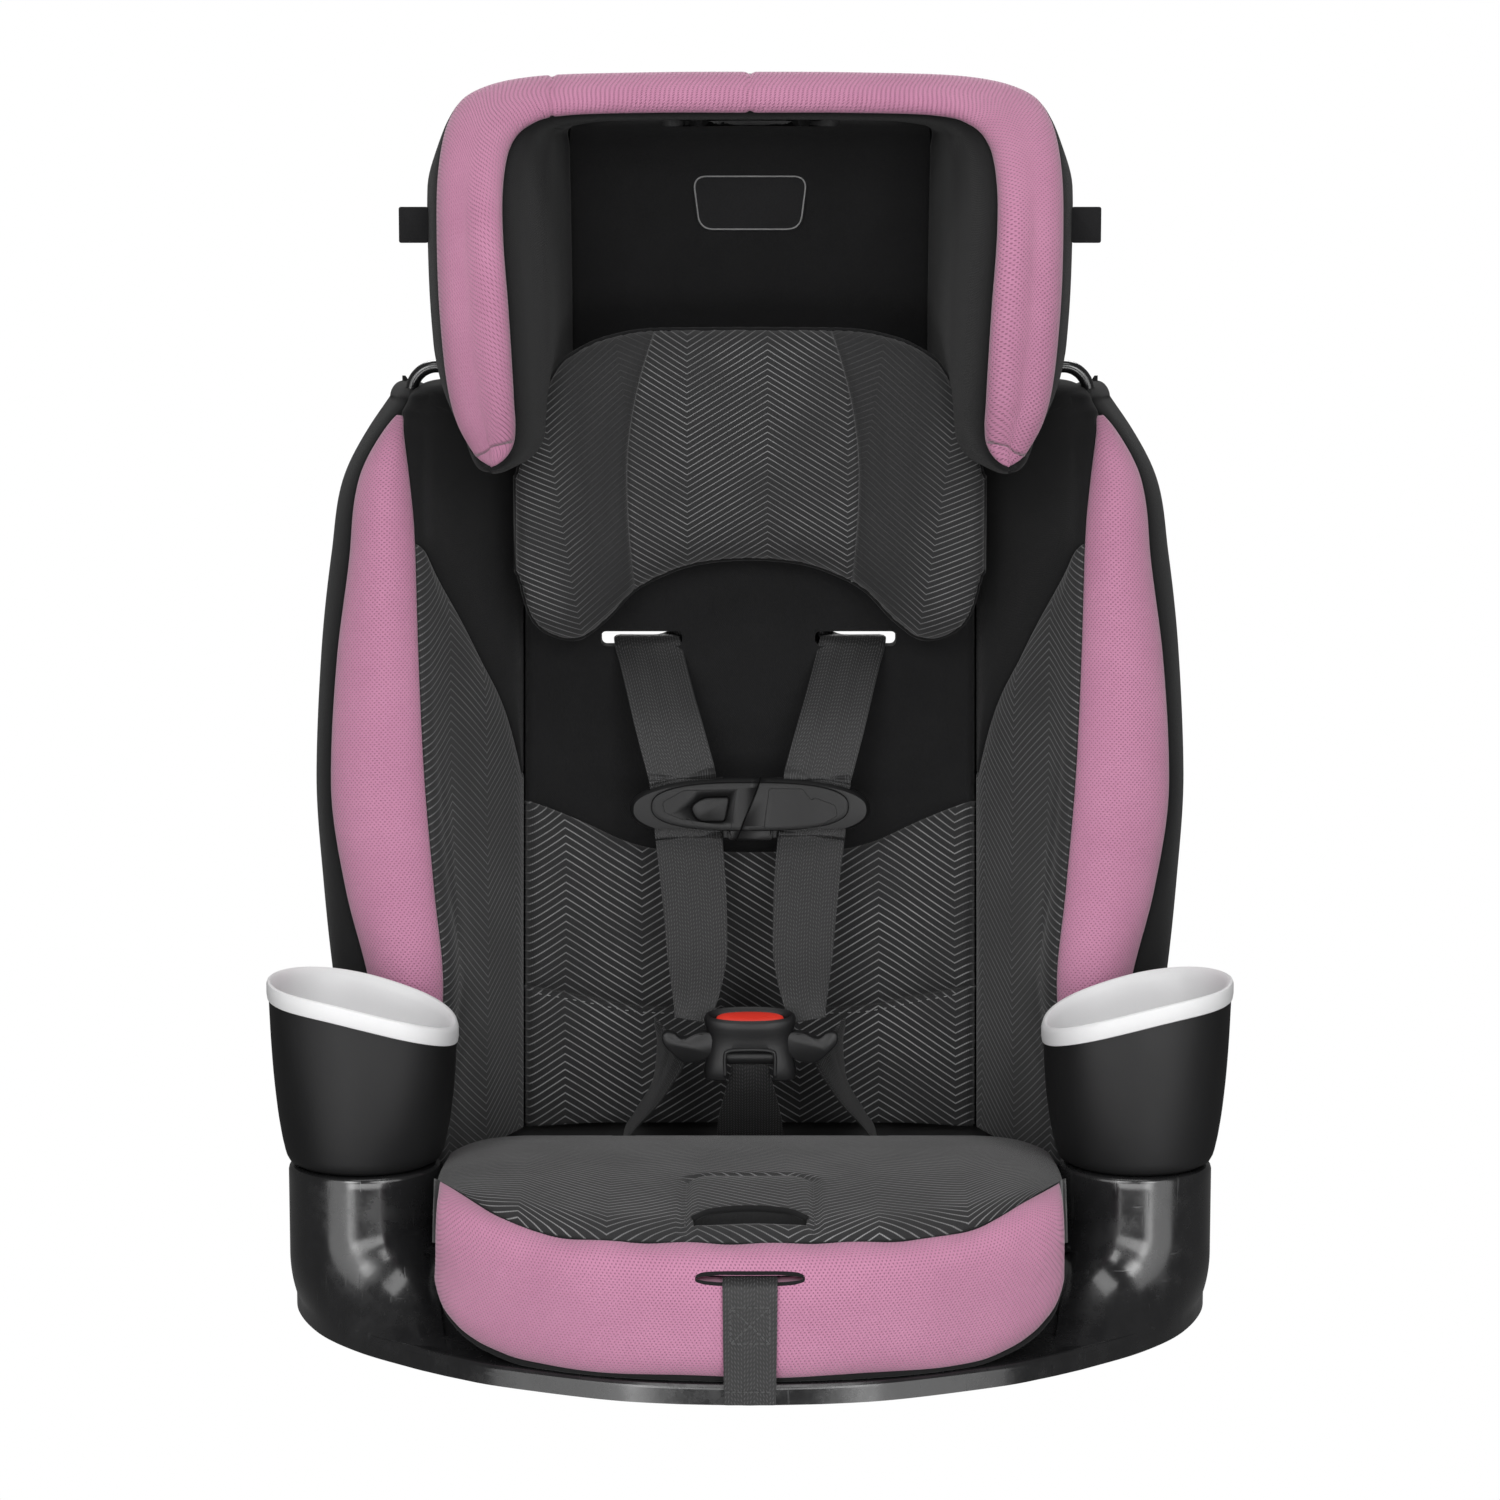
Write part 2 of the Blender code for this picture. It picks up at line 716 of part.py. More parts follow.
def both_sides(stations):
    return [(-s[0], *s[1:]) for s in stations[:0:-1]] + list(stations)


def make_seat():
    rings = []
    for x, front, rear, seam_z in both_sides(CUSHION):
        top = [lerp(front, rear, t) for t in (0.0, 0.06, 0.2, 0.4, 0.6, 0.8, 1.0)]
        ring = [(x, y, seam_z if k == 0 else cushion_top(x, y)) for k, y in enumerate(top)]
        ring += [(x, rear, PAD_BOTTOM_Z), (x, front, PAD_BOTTOM_Z)]
        rings.append(ring)
    pad = loft("seat_pad", rings, "cover_chevron")
    foam_rings = []
    for x, front, rear, _ in both_sides(CUSHION):
        front = max(front, -0.1450)
        low, high = DECK_Z + GAP, PAD_BOTTOM_Z - GAP
        foam_rings.append([(x * 0.97, y, z) for y, z in
                           ((front, low), (front, high), (rear, high), (rear, low))])
    foam = loft("seat_foam", foam_rings, "foam_grey")
    cut_box(pad, "adjuster_pocket", (-0.0295, -0.30, 0.0), (0.0295, -0.1560, 0.0668))
    for piece in (pad, foam):
        tag = "_" + piece.name
        cut_box(piece, "crotch_slot" + tag, (-0.0230, CROTCH_SLOT_Y[0], 0.0), (0.0230, CROTCH_SLOT_Y[1], 0.2))
        for name, side in SIDES:
            lap_x = sorted((side * LAP_SLOT_X[0], side * LAP_SLOT_X[1]))
            cut_box(piece, f"lap_slot_{name}{tag}", (lap_x[0], 0.046, 0.0), (lap_x[1], 0.094, 0.2))


# Half of the apron: x, front bulge and bottom height.
APRON = (
    (0.0000, -0.2350, 0.0135),
    (0.0300, -0.2335, 0.0135),
    (0.0600, -0.2290, 0.0135),
    (0.0900, -0.2200, 0.0135),
    (0.1150, -0.2080, 0.0140),
    (0.1300, -0.2000, 0.0170),
    (0.1400, -0.1935, 0.0205),
    (0.1500, -0.1860, 0.0270),
    (0.1570, -0.1780, 0.0350),
    (0.1620, -0.1700, 0.0480),
)
APRON_T = 0.0110
FRONT_EDGE = [station for station in CUSHION if station[0] >= 0.03]


def make_apron():
    rings = []
    for x, front, bottom in both_sides(APRON):
        reach = [station[0] for station in FRONT_EDGE]
        seam_y = float(np.interp(abs(x), reach, [s[1] for s in FRONT_EDGE])) - 2 * GAP
        seam_z = float(np.interp(abs(x), reach, [s[3] for s in FRONT_EDGE])) - 0.001
        middle = (bottom + seam_z) / 2
        rings.append(
            [
                (x, seam_y, seam_z),
                (x, lerp(seam_y, front, 0.75), seam_z - 0.008),
                (x, front, lerp(middle, seam_z, 0.35)),
                (x, front, lerp(middle, bottom, 0.4)),
                (x, front + 0.0035, bottom),
                (x, front + APRON_T, bottom),
                (x, front + APRON_T, lerp(middle, bottom, 0.4)),
                (x, max(front + APRON_T, seam_y - 0.004), PAD_BOTTOM_Z - 0.002),
                (x, seam_y, PAD_BOTTOM_Z + 0.001),
            ]
        )
    apron = loft("seat_apron", rings, "cover_pink")
    cut_box(apron, "pull_slit", (-0.0270, -0.30, 0.0615), (0.0270, -0.20, 0.0680))


# ---------------------------------------------------------------- cup holders


def cup_rows(side, radii_heights, segments=28):
    """Rings of a cup whose upper edge rises towards the outside of the seat."""
    rows = []
    for radius, height, rise in radii_heights:
        ring = []
        for k in range(segments):
            angle = 2 * math.pi * k / segments
            out = radius * math.cos(angle)
            ring.append(
                (
                    side * (CUP_X + out),
                    CUP_Y + radius * math.sin(angle),
                    height + rise * CUP_TILT * out,
                )
            )
        rows.append(ring)
    return rows


def make_cups():
    for name, side in SIDES:
        foot = CUP_FLOOR_Z
        outer = [
            (CUP_FOOT_R - 0.0020, foot, 0.0),
            (CUP_FOOT_R, foot + 0.0020, 0.0),
            (lerp(CUP_FOOT_R, CUP_MOUTH_R, 0.5), lerp(foot, CUP_TOP_Z, 0.5), 0.5),
            (CUP_MOUTH_R, CUP_TOP_Z - 0.0070, 1.0),
        ]
        inner = [
            (CUP_MOUTH_R - 0.0025, CUP_TOP_Z - 0.0070, 1.0),
            (lerp(CUP_FOOT_R, CUP_MOUTH_R, 0.5) - 0.0025, lerp(foot, CUP_TOP_Z, 0.5), 0.5),
            (CUP_FOOT_R - 0.0025, foot + 0.0030, 0.0),
        ]
        cup = loft("cup_" + name, cup_rows(side, outer + inner), "shell_black")
        lip = [
            (CUP_FOOT_R - 0.0062, foot + 0.0035, 0.0),
            (CUP_FOOT_R - 0.0031, foot + 0.0050, 0.0),
            (lerp(CUP_FOOT_R, CUP_MOUTH_R, 0.5) - 0.0031, lerp(foot, CUP_TOP_Z, 0.5), 0.5),
            (CUP_MOUTH_R - 0.0030, CUP_TOP_Z - 0.0066, 1.0),
            (CUP_MOUTH_R + 0.0008, CUP_TOP_Z - 0.0066, 1.0),
            (CUP_MOUTH_R + 0.0015, CUP_TOP_Z + 0.0010, 1.0),
            (CUP_MOUTH_R + 0.0005, CUP_TOP_Z + 0.0040, 1.0),
            (CUP_MOUTH_R - 0.0022, CUP_TOP_Z + 0.0035, 1.0),
            (CUP_MOUTH_R - 0.0050, CUP_TOP_Z - 0.0066, 1.0),
            (lerp(CUP_FOOT_R, CUP_MOUTH_R, 0.5) - 0.0051, lerp(foot, CUP_TOP_Z, 0.5), 0.5),
            (CUP_FOOT_R - 0.0060, foot + 0.0060, 0.0),
        ]
        liner = loft("cup_liner_" + name, cup_rows(side, lip), "cup_grey")
        centre = (side * CUP_X, CUP_Y)
        pedestal = bpy.data.objects["cup_pedestal_" + name]
        hole = cylinder("cup_screw_hole_" + name, (*centre, foot), 0.0026, 0.03, sides=16)
        for piece in (cup, liner, pedestal):
            boolean(piece, hole)
        turned(
            "cup_screw_" + name,
            (*centre, foot + 0.0062),
            (
                (0.0, 0.0026), (0.0040, 0.0020), (0.0045, 0.0),
                (0.0022, 0.0), (0.0022, -0.0160), (0.0, -0.0160),
            ),
            "steel",
            steps=16,
        )


# ---------------------------------------------------------------- harness


def make_straps():
    for name, side in SIDES:
        def at(x, y, z, across=(1.0, 0.0, 0.0)):
            return (side * x, y, z), (across[0], side * across[1], side * across[2])

        rear_y = back_y(SLOT_Z) + SHELL_DEPTH + WALL + 0.0040
        above_clip = [
            at(0.0300, rear_y + 0.0030, 0.2990),
            at(0.0440, rear_y + 0.0030, 0.3260),
            at(0.0570, rear_y, 0.3440),
            at(STRAP_X, back_y(SLOT_Z) + 0.0100, SLOT_Z),
            at(STRAP_X, back_y(SLOT_Z) - 0.0040, SLOT_Z - 0.0005),
            at(0.0560, back_y(SLOT_Z) - 0.0140, 0.3360),
            at(0.0480, 0.1130, 0.3080),
            at(0.0360, CLIP_Y + 0.0020, CLIP_Z + 0.0184),
        ]
        in_clip = [
            at(0.0357, CLIP_Y + 0.0020, CLIP_Z + 0.0177),
            at(0.0343, CLIP_Y + 0.0010, CLIP_Z - 0.0177),
        ]
        below_clip = [
            at(0.0340, CLIP_Y + 0.0010, CLIP_Z - 0.0184),
            at(0.0315, 0.0810, 0.2080),
            at(0.0300, 0.0640, 0.1750),
            at(0.0305, 0.0500, 0.1530),
            at(0.0320, 0.0455, 0.1425),
        ]
        if side < 0:
            # The left half of the clip stays on this strap, which runs through it unbroken.
            strap("shoulder_strap_left", above_clip + below_clip)
        else:
            strap("shoulder_strap_right_upper", above_clip)
            strap("shoulder_strap_right_clip", in_clip)
            strap("shoulder_strap_right_lower", below_clip)
        strap(
            "lap_strap_" + name,
            [
                at(0.0440, 0.0520, 0.1180, (0.25, 0.95, -0.10)),
                at(0.0520, 0.0620, 0.0980, (0.15, 0.98, -0.05)),
                at(0.0640, 0.0680, 0.0780, (0.05, 1.0, 0.0)),
                at(0.0720, 0.0700, 0.0650, (0.0, 1.0, 0.0)),
                at(0.0730, 0.0700, 0.0350, (0.0, 1.0, 0.0)),
            ],
        )
        anchor_x = sorted((side * (LAP_SLOT_X[0] - 0.0030), side * (LAP_SLOT_X[1] + 0.0030)))
        box(
            "lap_anchor_" + name,
            (anchor_x[0], 0.0430, 0.0310),
            (anchor_x[1], 0.0970, 0.0345),
            "steel",
            bevel=0.0005,
            segments=1,
        )
    strap(
        "crotch_strap",
        [
            ((0.0, BUCKLE_Y, 0.1185), (1, 0, 0)),
            ((0.0, BUCKLE_Y, 0.1080), (1, 0, 0)),
            ((0.0, BUCKLE_Y + 0.0080, 0.0980), (1, 0, 0)),
            ((0.0, 0.0560, 0.0800), (1, 0, 0)),
            ((0.0, 0.0680, 0.0640), (1, 0, 0)),
            ((0.0, 0.0700, 0.0350), (1, 0, 0)),
        ],
        half_width=0.0190,
    )
    box("crotch_anchor", (-0.0270, CROTCH_SLOT_Y[0] - 0.0030, 0.0310),
        (0.0270, CROTCH_SLOT_Y[1] + 0.0030, 0.0345), "steel",
        bevel=0.0005, segments=1)


def make_splitter():
    """The yoke behind the back, where both shoulder straps meet the adjuster strap."""
    y = back_y(0.29) + SHELL_DEPTH + WALL + 0.0130
    box("splitter_plate", (-0.0480, y - 0.0015, 0.2830), (0.0480, y + 0.0015, 0.2980), "steel",
        bevel=0.0005, segments=1)
    strap(
        "adjuster_strap",
        [
            ((0.0, y, 0.2826), (1, 0, 0)),
            ((0.0, y, 0.2500), (1, 0, 0)),
            ((0.0, 0.1640, 0.1400), (1, 0, 0)),
            ((0.0, 0.1600, 0.0600), (1, 0, 0)),
            ((0.0, 0.1560, 0.0330), (1, 0, 0)),
            ((0.0, 0.1480, 0.0265), (1, 0, 0)),
            ((0.0, -0.1350, 0.0265), (1, 0, 0)),
            ((0.0, -0.1560, 0.0360), (1, 0, 0)),
            ((0.0, -0.1590, 0.0500), (1, 0, 0)),
        ],
    )


def make_adjuster():
    """The harness adjuster under the front of the cushion, and the tail that tightens it."""
    _, y, z = LEVER_PIN
    frame = box("adjuster_frame", (-0.0260, y - 0.0150, DECK_Z + GAP), (0.0260, y + 0.0170, z + 0.0035),
                "steel")
    cut_box(frame, "adjuster_channel", (-0.0228, -0.3, DECK_Z + 0.0022), (0.0228, 0.0, 0.2))
    pin_hole = cylinder("adjuster_pin_hole", LEVER_PIN, 0.0021, 0.08, axis="X", sides=16)
    boolean(frame, pin_hole)
    cylinder("adjuster_pin", LEVER_PIN, 0.0018, 0.0560, "steel", axis="X", sides=16)
    lever = box(
        "adjuster_lever",
        (-0.0190, y - 0.0240, z - 0.0032),
        (0.0190, y + 0.0060, z + 0.0032),
        "buckle_black",
        bevel=0.0015,
    )
    set_origin(lever, LEVER_PIN)
    boolean(lever, pin_hole)
    strap(
        "pull_strap",
        [
            ((0.0, -0.2070, 0.0600), (1, 0, 0)),
            ((0.0, -0.2130, 0.0640), (1, 0, 0)),
            ((0.0, -0.2300, 0.0655), (1, 0, 0)),
            ((0.0, -0.2385, 0.0620), (1, 0, 0)),
            ((0.0, -0.2388, 0.0480), (1, 0, 0)),
            ((0.0, -0.2388, 0.0150), (1, 0, 0)),
            ((0.0, -0.2390, 0.0015), (1, 0, 0)),
        ],
        half_width=0.0135,
    )


def make_chest_clip():
    top, bottom = CLIP_Z + 0.0160, CLIP_Z - 0.0160
    front, rear = CLIP_Y - 0.0080, CLIP_Y + 0.0065
    left = box("chest_clip_left", (-0.0670, front, bottom), (-0.0004, rear, top), "buckle_black",
               bevel=0.0030)
    right = box("chest_clip_right", (0.0004, front, bottom), (0.0670, rear, top), "buckle_black",
                bevel=0.0030)
    for piece, side in ((left, -1), (right, 1)):
        xs = sorted((side * 0.0140, side * 0.0572))
        cut_box(piece, "webbing_slot_" + piece.name,
                (xs[0], CLIP_Y - 0.0010, 0.2), (xs[1], CLIP_Y + 0.0040, 0.3))
    cut_box(left, "tongue_pocket", (-CLIP_TONGUE - 0.0025, front + 0.0022, CLIP_Z - 0.0085),
            (0.01, front + 0.0062, CLIP_Z + 0.0085))
    tongue = box("tongue_of_clip", (-CLIP_TONGUE, front + 0.0027, CLIP_Z - 0.0080),
                 (0.006, front + 0.0057, CLIP_Z + 0.0080))
    boolean(right, tongue, "UNION")
    set_origin(right, (0.0, CLIP_Y, CLIP_Z))
    button_x = (-0.0345, -0.0120)
    button_rear = front + 0.0022
    pocket_floor = button_rear + CLIP_BUTTON_STROKE + STROKE_MARGIN
    cut_box(left, "button_pocket", (button_x[0] - 0.0006, -0.1, CLIP_Z - 0.0076),
            (button_x[1] + 0.0006, pocket_floor, CLIP_Z + 0.0076))
    button = box("chest_clip_button", (button_x[0], front - 0.0008, CLIP_Z - 0.0070),
                 (button_x[1], button_rear, CLIP_Z + 0.0070), "buckle_black", bevel=0.0008)
    set_origin(button, button.location)


def make_buckle():
    top, bottom = BUCKLE_TOP_Z, 0.1090
    y = BUCKLE_Y
    front = box("buckle_front", (-0.0260, y - 0.0110, bottom), (0.0260, y - 0.00015, top),
                "buckle_black", bevel=0.0035)
    rear = box("buckle_back", (-0.0260, y + 0.00015, bottom), (0.0260, y + 0.0110, top),
               "buckle_black", bevel=0.0035)
    well_floor = BUTTON_FOOT_Z - BUTTON_STROKE - STROKE_MARGIN
    for piece in (front, rear):
        tag = "_" + piece.name
        cut_box(piece, "button_well" + tag, (-0.0195, y - 0.0075, well_floor),
                (0.0195, y + 0.0075, 0.2))
        cut_box(piece, "strap_notch" + tag, (-0.0196, y - 0.0030, 0.1), (0.0196, y + 0.0030, 0.1215))
        cut_box(piece, "leg_gap" + tag, (-0.0140, y - 0.02, 0.1), (0.0140, y + 0.02, 0.1150))
        for name, side in SIDES:
            xs = sorted((side * 0.0215, side * 0.0300))
            cut_box(piece, f"tongue_slot_{name}{tag}", (xs[0], y - 0.0022, 0.1250),
                    (xs[1], y + 0.0022, 0.1405))
    button = box("buckle_button", (-0.0185, y - 0.0068, BUTTON_FOOT_Z), (0.0185, y + 0.0068, 0.1466),
                 "button_red", bevel=0.0025)
    set_origin(button, button.location)
    for name, side in SIDES:
        inner, outer = side * 0.0219, side * 0.0490
        xs = sorted((inner, outer))
        box("tongue_" + name, (xs[0], y - 0.0015, 0.1265), (xs[1], y + 0.0015, 0.1395),
            "steel")


def make_belt_guides():
    """An open hook between each wing and shoulder, for the vehicle's shoulder belt."""
    for name, side in SIDES:
        points = []
        for k in range(13):
            angle = math.radians(100 - 215 * k / 12)
            points.append((side * (0.1850 + 0.0150 * math.cos(angle)), 0.1500,
                           0.5060 + 0.0150 * math.sin(angle)))
        tube("belt_guide_" + name, points, 0.0035, "shell_black")


make_base()
make_back()
make_head()
make_neck()
make_pillow()
make_labels()
make_seat()
make_apron()
make_cups()
split_base()
make_straps()
make_splitter()
make_adjuster()
make_chest_clip()
make_buckle()
make_belt_guides()
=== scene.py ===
"""Looks of the harnessed booster seat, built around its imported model.

Metres, +Z up.  The seat faces -Y.  The shapes began as those of the solids and are refined here,
with fabric, seams and stitches, so they don't match the solids exactly: bolster seams, pillow, cups
and pedestals differ a little, and the slots for the lap and crotch webbing are narrower.
"""

import math

import bmesh
import bpy
import numpy as np
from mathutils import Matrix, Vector


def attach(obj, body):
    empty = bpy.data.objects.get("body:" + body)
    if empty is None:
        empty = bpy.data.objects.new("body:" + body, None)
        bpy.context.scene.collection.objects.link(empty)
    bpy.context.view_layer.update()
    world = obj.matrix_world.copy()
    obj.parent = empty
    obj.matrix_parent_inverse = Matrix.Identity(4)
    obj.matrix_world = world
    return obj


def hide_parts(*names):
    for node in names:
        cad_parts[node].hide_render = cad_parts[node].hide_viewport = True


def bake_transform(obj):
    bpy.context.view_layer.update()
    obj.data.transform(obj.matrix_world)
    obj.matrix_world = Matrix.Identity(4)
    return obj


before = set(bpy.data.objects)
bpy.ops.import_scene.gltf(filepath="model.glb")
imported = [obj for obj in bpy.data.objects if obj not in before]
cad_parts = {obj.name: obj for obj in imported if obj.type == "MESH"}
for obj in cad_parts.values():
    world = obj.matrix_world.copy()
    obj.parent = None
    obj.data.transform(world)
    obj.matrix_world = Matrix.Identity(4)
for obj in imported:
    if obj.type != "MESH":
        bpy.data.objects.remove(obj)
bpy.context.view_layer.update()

SIDES = (("left", -1), ("right", 1))

# ---------------------------------------------------------------- shader helpers


class Paint:
    """A Principled material, and short calls that add nodes to it."""

    def __init__(self, name, roughness, metallic=0.0, sheen=0.0, coat=0.0, specular=0.5):
        self.material = bpy.data.materials.new(name)
        self.material.use_nodes = True
        self.tree = self.material.node_tree
        self.shader = self.tree.nodes["Principled BSDF"]
        self.shader.inputs["Roughness"].default_value = roughness
        self.shader.inputs["Metallic"].default_value = metallic
        self.shader.inputs["Sheen Weight"].default_value = sheen
        self.shader.inputs["Sheen Roughness"].default_value = 0.45
        self.shader.inputs["Coat Weight"].default_value = coat
        self.shader.inputs["Coat Roughness"].default_value = 0.12
        self.shader.inputs["Specular IOR Level"].default_value = specular

    def node(self, kind, inputs=(), **settings):
        made = self.tree.nodes.new(kind)
        for name, value in settings.items():
            setattr(made, name, value)
        for name, value in dict(inputs).items():
            self.put(value, made.inputs[name])
        return made

    def put(self, value, socket):
        if isinstance(value, bpy.types.NodeSocket):
            self.tree.links.new(value, socket)
        else:
            socket.default_value = value

    def math(self, operation, a, b=0.0, c=0.0):
        made = self.node("ShaderNodeMath", operation=operation)
        for value, socket in zip((a, b, c), made.inputs):
            self.put(value, socket)
        return made.outputs[0]

    def step(self, value, low, high, start=0.0, end=1.0):
        """A smooth step from start, where value is low, to end, where it is high."""
        made = self.node(
            "ShaderNodeMapRange",
            {"Value": value, "From Min": low, "From Max": high, "To Min": start, "To Max": end},
            interpolation_type="SMOOTHSTEP",
        )
        return made.outputs[0]

    def object_point(self, scale=(1.0, 1.0, 1.0)):
        point = self.node("ShaderNodeTexCoord").outputs["Object"]
        return self.node(
            "ShaderNodeMapping", {"Vector": point, "Scale": scale}
        ).outputs["Vector"]

    def fabric_point(self):
        """Distance across and along the cloth, in metres."""
        point = self.node("ShaderNodeUVMap", uv_map="cloth").outputs["UV"]
        parts = self.node("ShaderNodeSeparateXYZ", {"Vector": point})
        return parts.outputs["X"], parts.outputs["Y"]

    def noise(self, scale, detail=2.0, point=None, roughness=0.5):
        return self.node(
            "ShaderNodeTexNoise",
            {
                "Vector": point or self.object_point(),
                "Scale": scale,
                "Detail": detail,
                "Roughness": roughness,
            },
        ).outputs["Fac"]

    def mix(self, factor, low, high):
        made = self.node("ShaderNodeMix", data_type="RGBA")
        self.put(factor, made.inputs["Factor"])
        self.put(low if not isinstance(low, tuple) else (*low, 1.0), made.inputs[6])
        self.put(high if not isinstance(high, tuple) else (*high, 1.0), made.inputs[7])
        return made.outputs[2]

    def colour(self, value):
        self.put(value, self.shader.inputs["Base Color"])

    def rough(self, value):
        self.put(value, self.shader.inputs["Roughness"])

    def bump(self, height, distance, strength=1.0):
        made = self.node(
            "ShaderNodeBump", {"Height": height, "Distance": distance, "Strength": strength}
        )
        self.put(made.outputs["Normal"], self.shader.inputs["Normal"])


def knit_height(paint, u, v, pitch):
    """Rows of small loops, staggered like a fine knit."""
    across = paint.math("MULTIPLY", u, 2 * math.pi / pitch)
    along = paint.math("MULTIPLY", v, 2 * math.pi / (pitch * 0.8))
    loops = paint.math("MULTIPLY", paint.math("SINE", across), paint.math("SINE", along))
    return paint.math("MULTIPLY_ADD", loops, 0.5, 0.5)


def plain_cloth(name, dark, light, pitch=0.0011):
    """Plain knit, with slight clouding and a soft nap."""
    paint = Paint(name, 0.92, sheen=0.09, specular=0.12)
    u, v = paint.fabric_point()
    loops = knit_height(paint, u, v, pitch)
    cloud = paint.noise(38.0, 3.0)
    grain = paint.noise(900.0, 2.0)
    tone = paint.math("MULTIPLY_ADD", loops, 0.35, paint.math("MULTIPLY", cloud, 0.35))
    tone = paint.math("MULTIPLY_ADD", grain, 0.45, tone)
    paint.colour(paint.mix(tone, dark, light))
    paint.bump(paint.math("MULTIPLY_ADD", grain, 0.5, loops), 0.00025, 0.55)
    return paint.material


CHEVRON_HALF = 0.0460  # from the top of a zigzag to its foot, across the cloth
CHEVRON_SLOPE = 0.61


def chevron_cloth(name, strength=1.0, pitch=0.0045, line=0.00034, fade=None):
    """Charcoal knit with thin, slightly broken grey zigzag lines that catch the light; a fade dims the
    lines towards one side of the cloth as painted shade.
    """
    paint = Paint(name, 0.86, sheen=0.20, specular=0.30)
    u, v = paint.fabric_point()
    zigzag = paint.math("PINGPONG", u, CHEVRON_HALF)
    level = paint.math("MULTIPLY_ADD", zigzag, -CHEVRON_SLOPE, v)
    phase = paint.math("FRACT", paint.math("DIVIDE", level, pitch))
    away = paint.math("MULTIPLY", paint.math("ABSOLUTE", paint.math("SUBTRACT", phase, 0.5)), pitch)
    line = paint.step(away, line * 0.6, line * 1.7, 1.0, 0.0)
    beads = paint.math("SINE", paint.math("MULTIPLY", u, 2 * math.pi / 0.00085))
    broken = paint.math("MULTIPLY", line, paint.math("MULTIPLY_ADD", beads, 0.22, 0.78))
    worn = paint.step(paint.noise(26.0, 3.0), 0.28, 0.66, 0.45, 1.0)
    broken = paint.math("MULTIPLY", broken, paint.math("MULTIPLY", worn, strength))
    # painted shade: with a fade, the lines dim to a trace across the cloth, so the pillow's lobes darken
    # towards their inner seams
    if fade:
        broken = paint.math("MULTIPLY", broken, paint.step(u, fade[0], fade[1], 0.06, 1.0))
    loops = knit_height(paint, u, v, 0.0012)
    grain = paint.noise(850.0, 2.0)
    ground = paint.mix(
        paint.math("MULTIPLY_ADD", loops, 0.35, paint.math("MULTIPLY", grain, 0.65)),
        (0.0060, 0.0060, 0.0064),
        (0.0260, 0.0260, 0.0270),
    )
    paint.colour(paint.mix(broken, ground, (0.280, 0.280, 0.283)))
    paint.rough(paint.step(line, 0.0, 1.0, 0.88, 0.55))
    height = paint.math("MULTIPLY_ADD", line, 0.8, paint.math("MULTIPLY", loops, 0.5))
    paint.bump(paint.math("MULTIPLY_ADD", grain, 0.35, height), 0.00028, 0.6)
    return paint.material


MESH_PITCH = (0.0021, 0.0013)


def spacer_mesh(name):
    """Dusty pink spacer mesh: staggered rows of small drop-shaped holes."""
    paint = Paint(name, 0.80, sheen=0.35, specular=0.25)
    u, v = paint.fabric_point()
    row = paint.math("DIVIDE", v, MESH_PITCH[1])
    shift = paint.math("MULTIPLY", paint.math("FLOORED_MODULO", paint.math("FLOOR", row), 2.0), 0.5)
    column = paint.math("ADD", paint.math("DIVIDE", u, MESH_PITCH[0]), shift)
    x = paint.math("SUBTRACT", paint.math("FRACT", column), 0.5)
    y = paint.math("SUBTRACT", paint.math("FRACT", row), 0.5)
    away = paint.math("SQRT", paint.math("ADD", paint.math("MULTIPLY", paint.math("POWER", x, 2.0), 2.6),
                                         paint.math("MULTIPLY", paint.math("POWER", y, 2.0), 1.0)))
    hole = paint.step(away, 0.14, 0.40, 1.0, 0.0)
    cloud = paint.noise(30.0, 3.0)
    fibre = paint.noise(1300.0, 2.0)
    yarn = paint.mix(
        paint.math("MULTIPLY_ADD", fibre, 0.6, paint.math("MULTIPLY", cloud, 0.4)),
        (0.400, 0.150, 0.262),
        (0.640, 0.290, 0.440),
    )
    paint.colour(paint.mix(paint.math("MULTIPLY", hole, 0.62), yarn, (0.185, 0.062, 0.118)))
    height = paint.math("MULTIPLY_ADD", fibre, 0.2, paint.math("SUBTRACT", 1.0, hole))
    paint.bump(height, 0.00055, 0.75)
    return paint.material


def webbing_cloth(name):
    """Black herringbone webbing: bands of slanting threads that change direction."""
    paint = Paint(name, 0.62, sheen=0.10, specular=0.45)
    u, v = paint.fabric_point()
    slant = paint.math("PINGPONG", u, 0.0064)
    threads = paint.math("DIVIDE", paint.math("MULTIPLY_ADD", slant, 1.7, v), 0.0024)
    wave = paint.math("MULTIPLY_ADD", paint.math("SINE", paint.math("MULTIPLY", threads, 2 * math.pi)), 0.5,
                      0.5)
    cross = paint.math("MULTIPLY_ADD", paint.math("SINE", paint.math("MULTIPLY", u, 2 * math.pi / 0.0016)),
                       0.5, 0.5)
    bead = paint.math("MULTIPLY", wave, cross)
    grain = paint.noise(1500.0, 2.0)
    tone = paint.math("MULTIPLY", paint.step(bead, 0.25, 0.95), paint.math("MULTIPLY_ADD", grain, 0.8, 0.5))
    paint.colour(paint.mix(tone, (0.0035, 0.0035, 0.0038), (0.062, 0.062, 0.064)))
    paint.bump(bead, 0.00035, 0.7)
    return paint.material


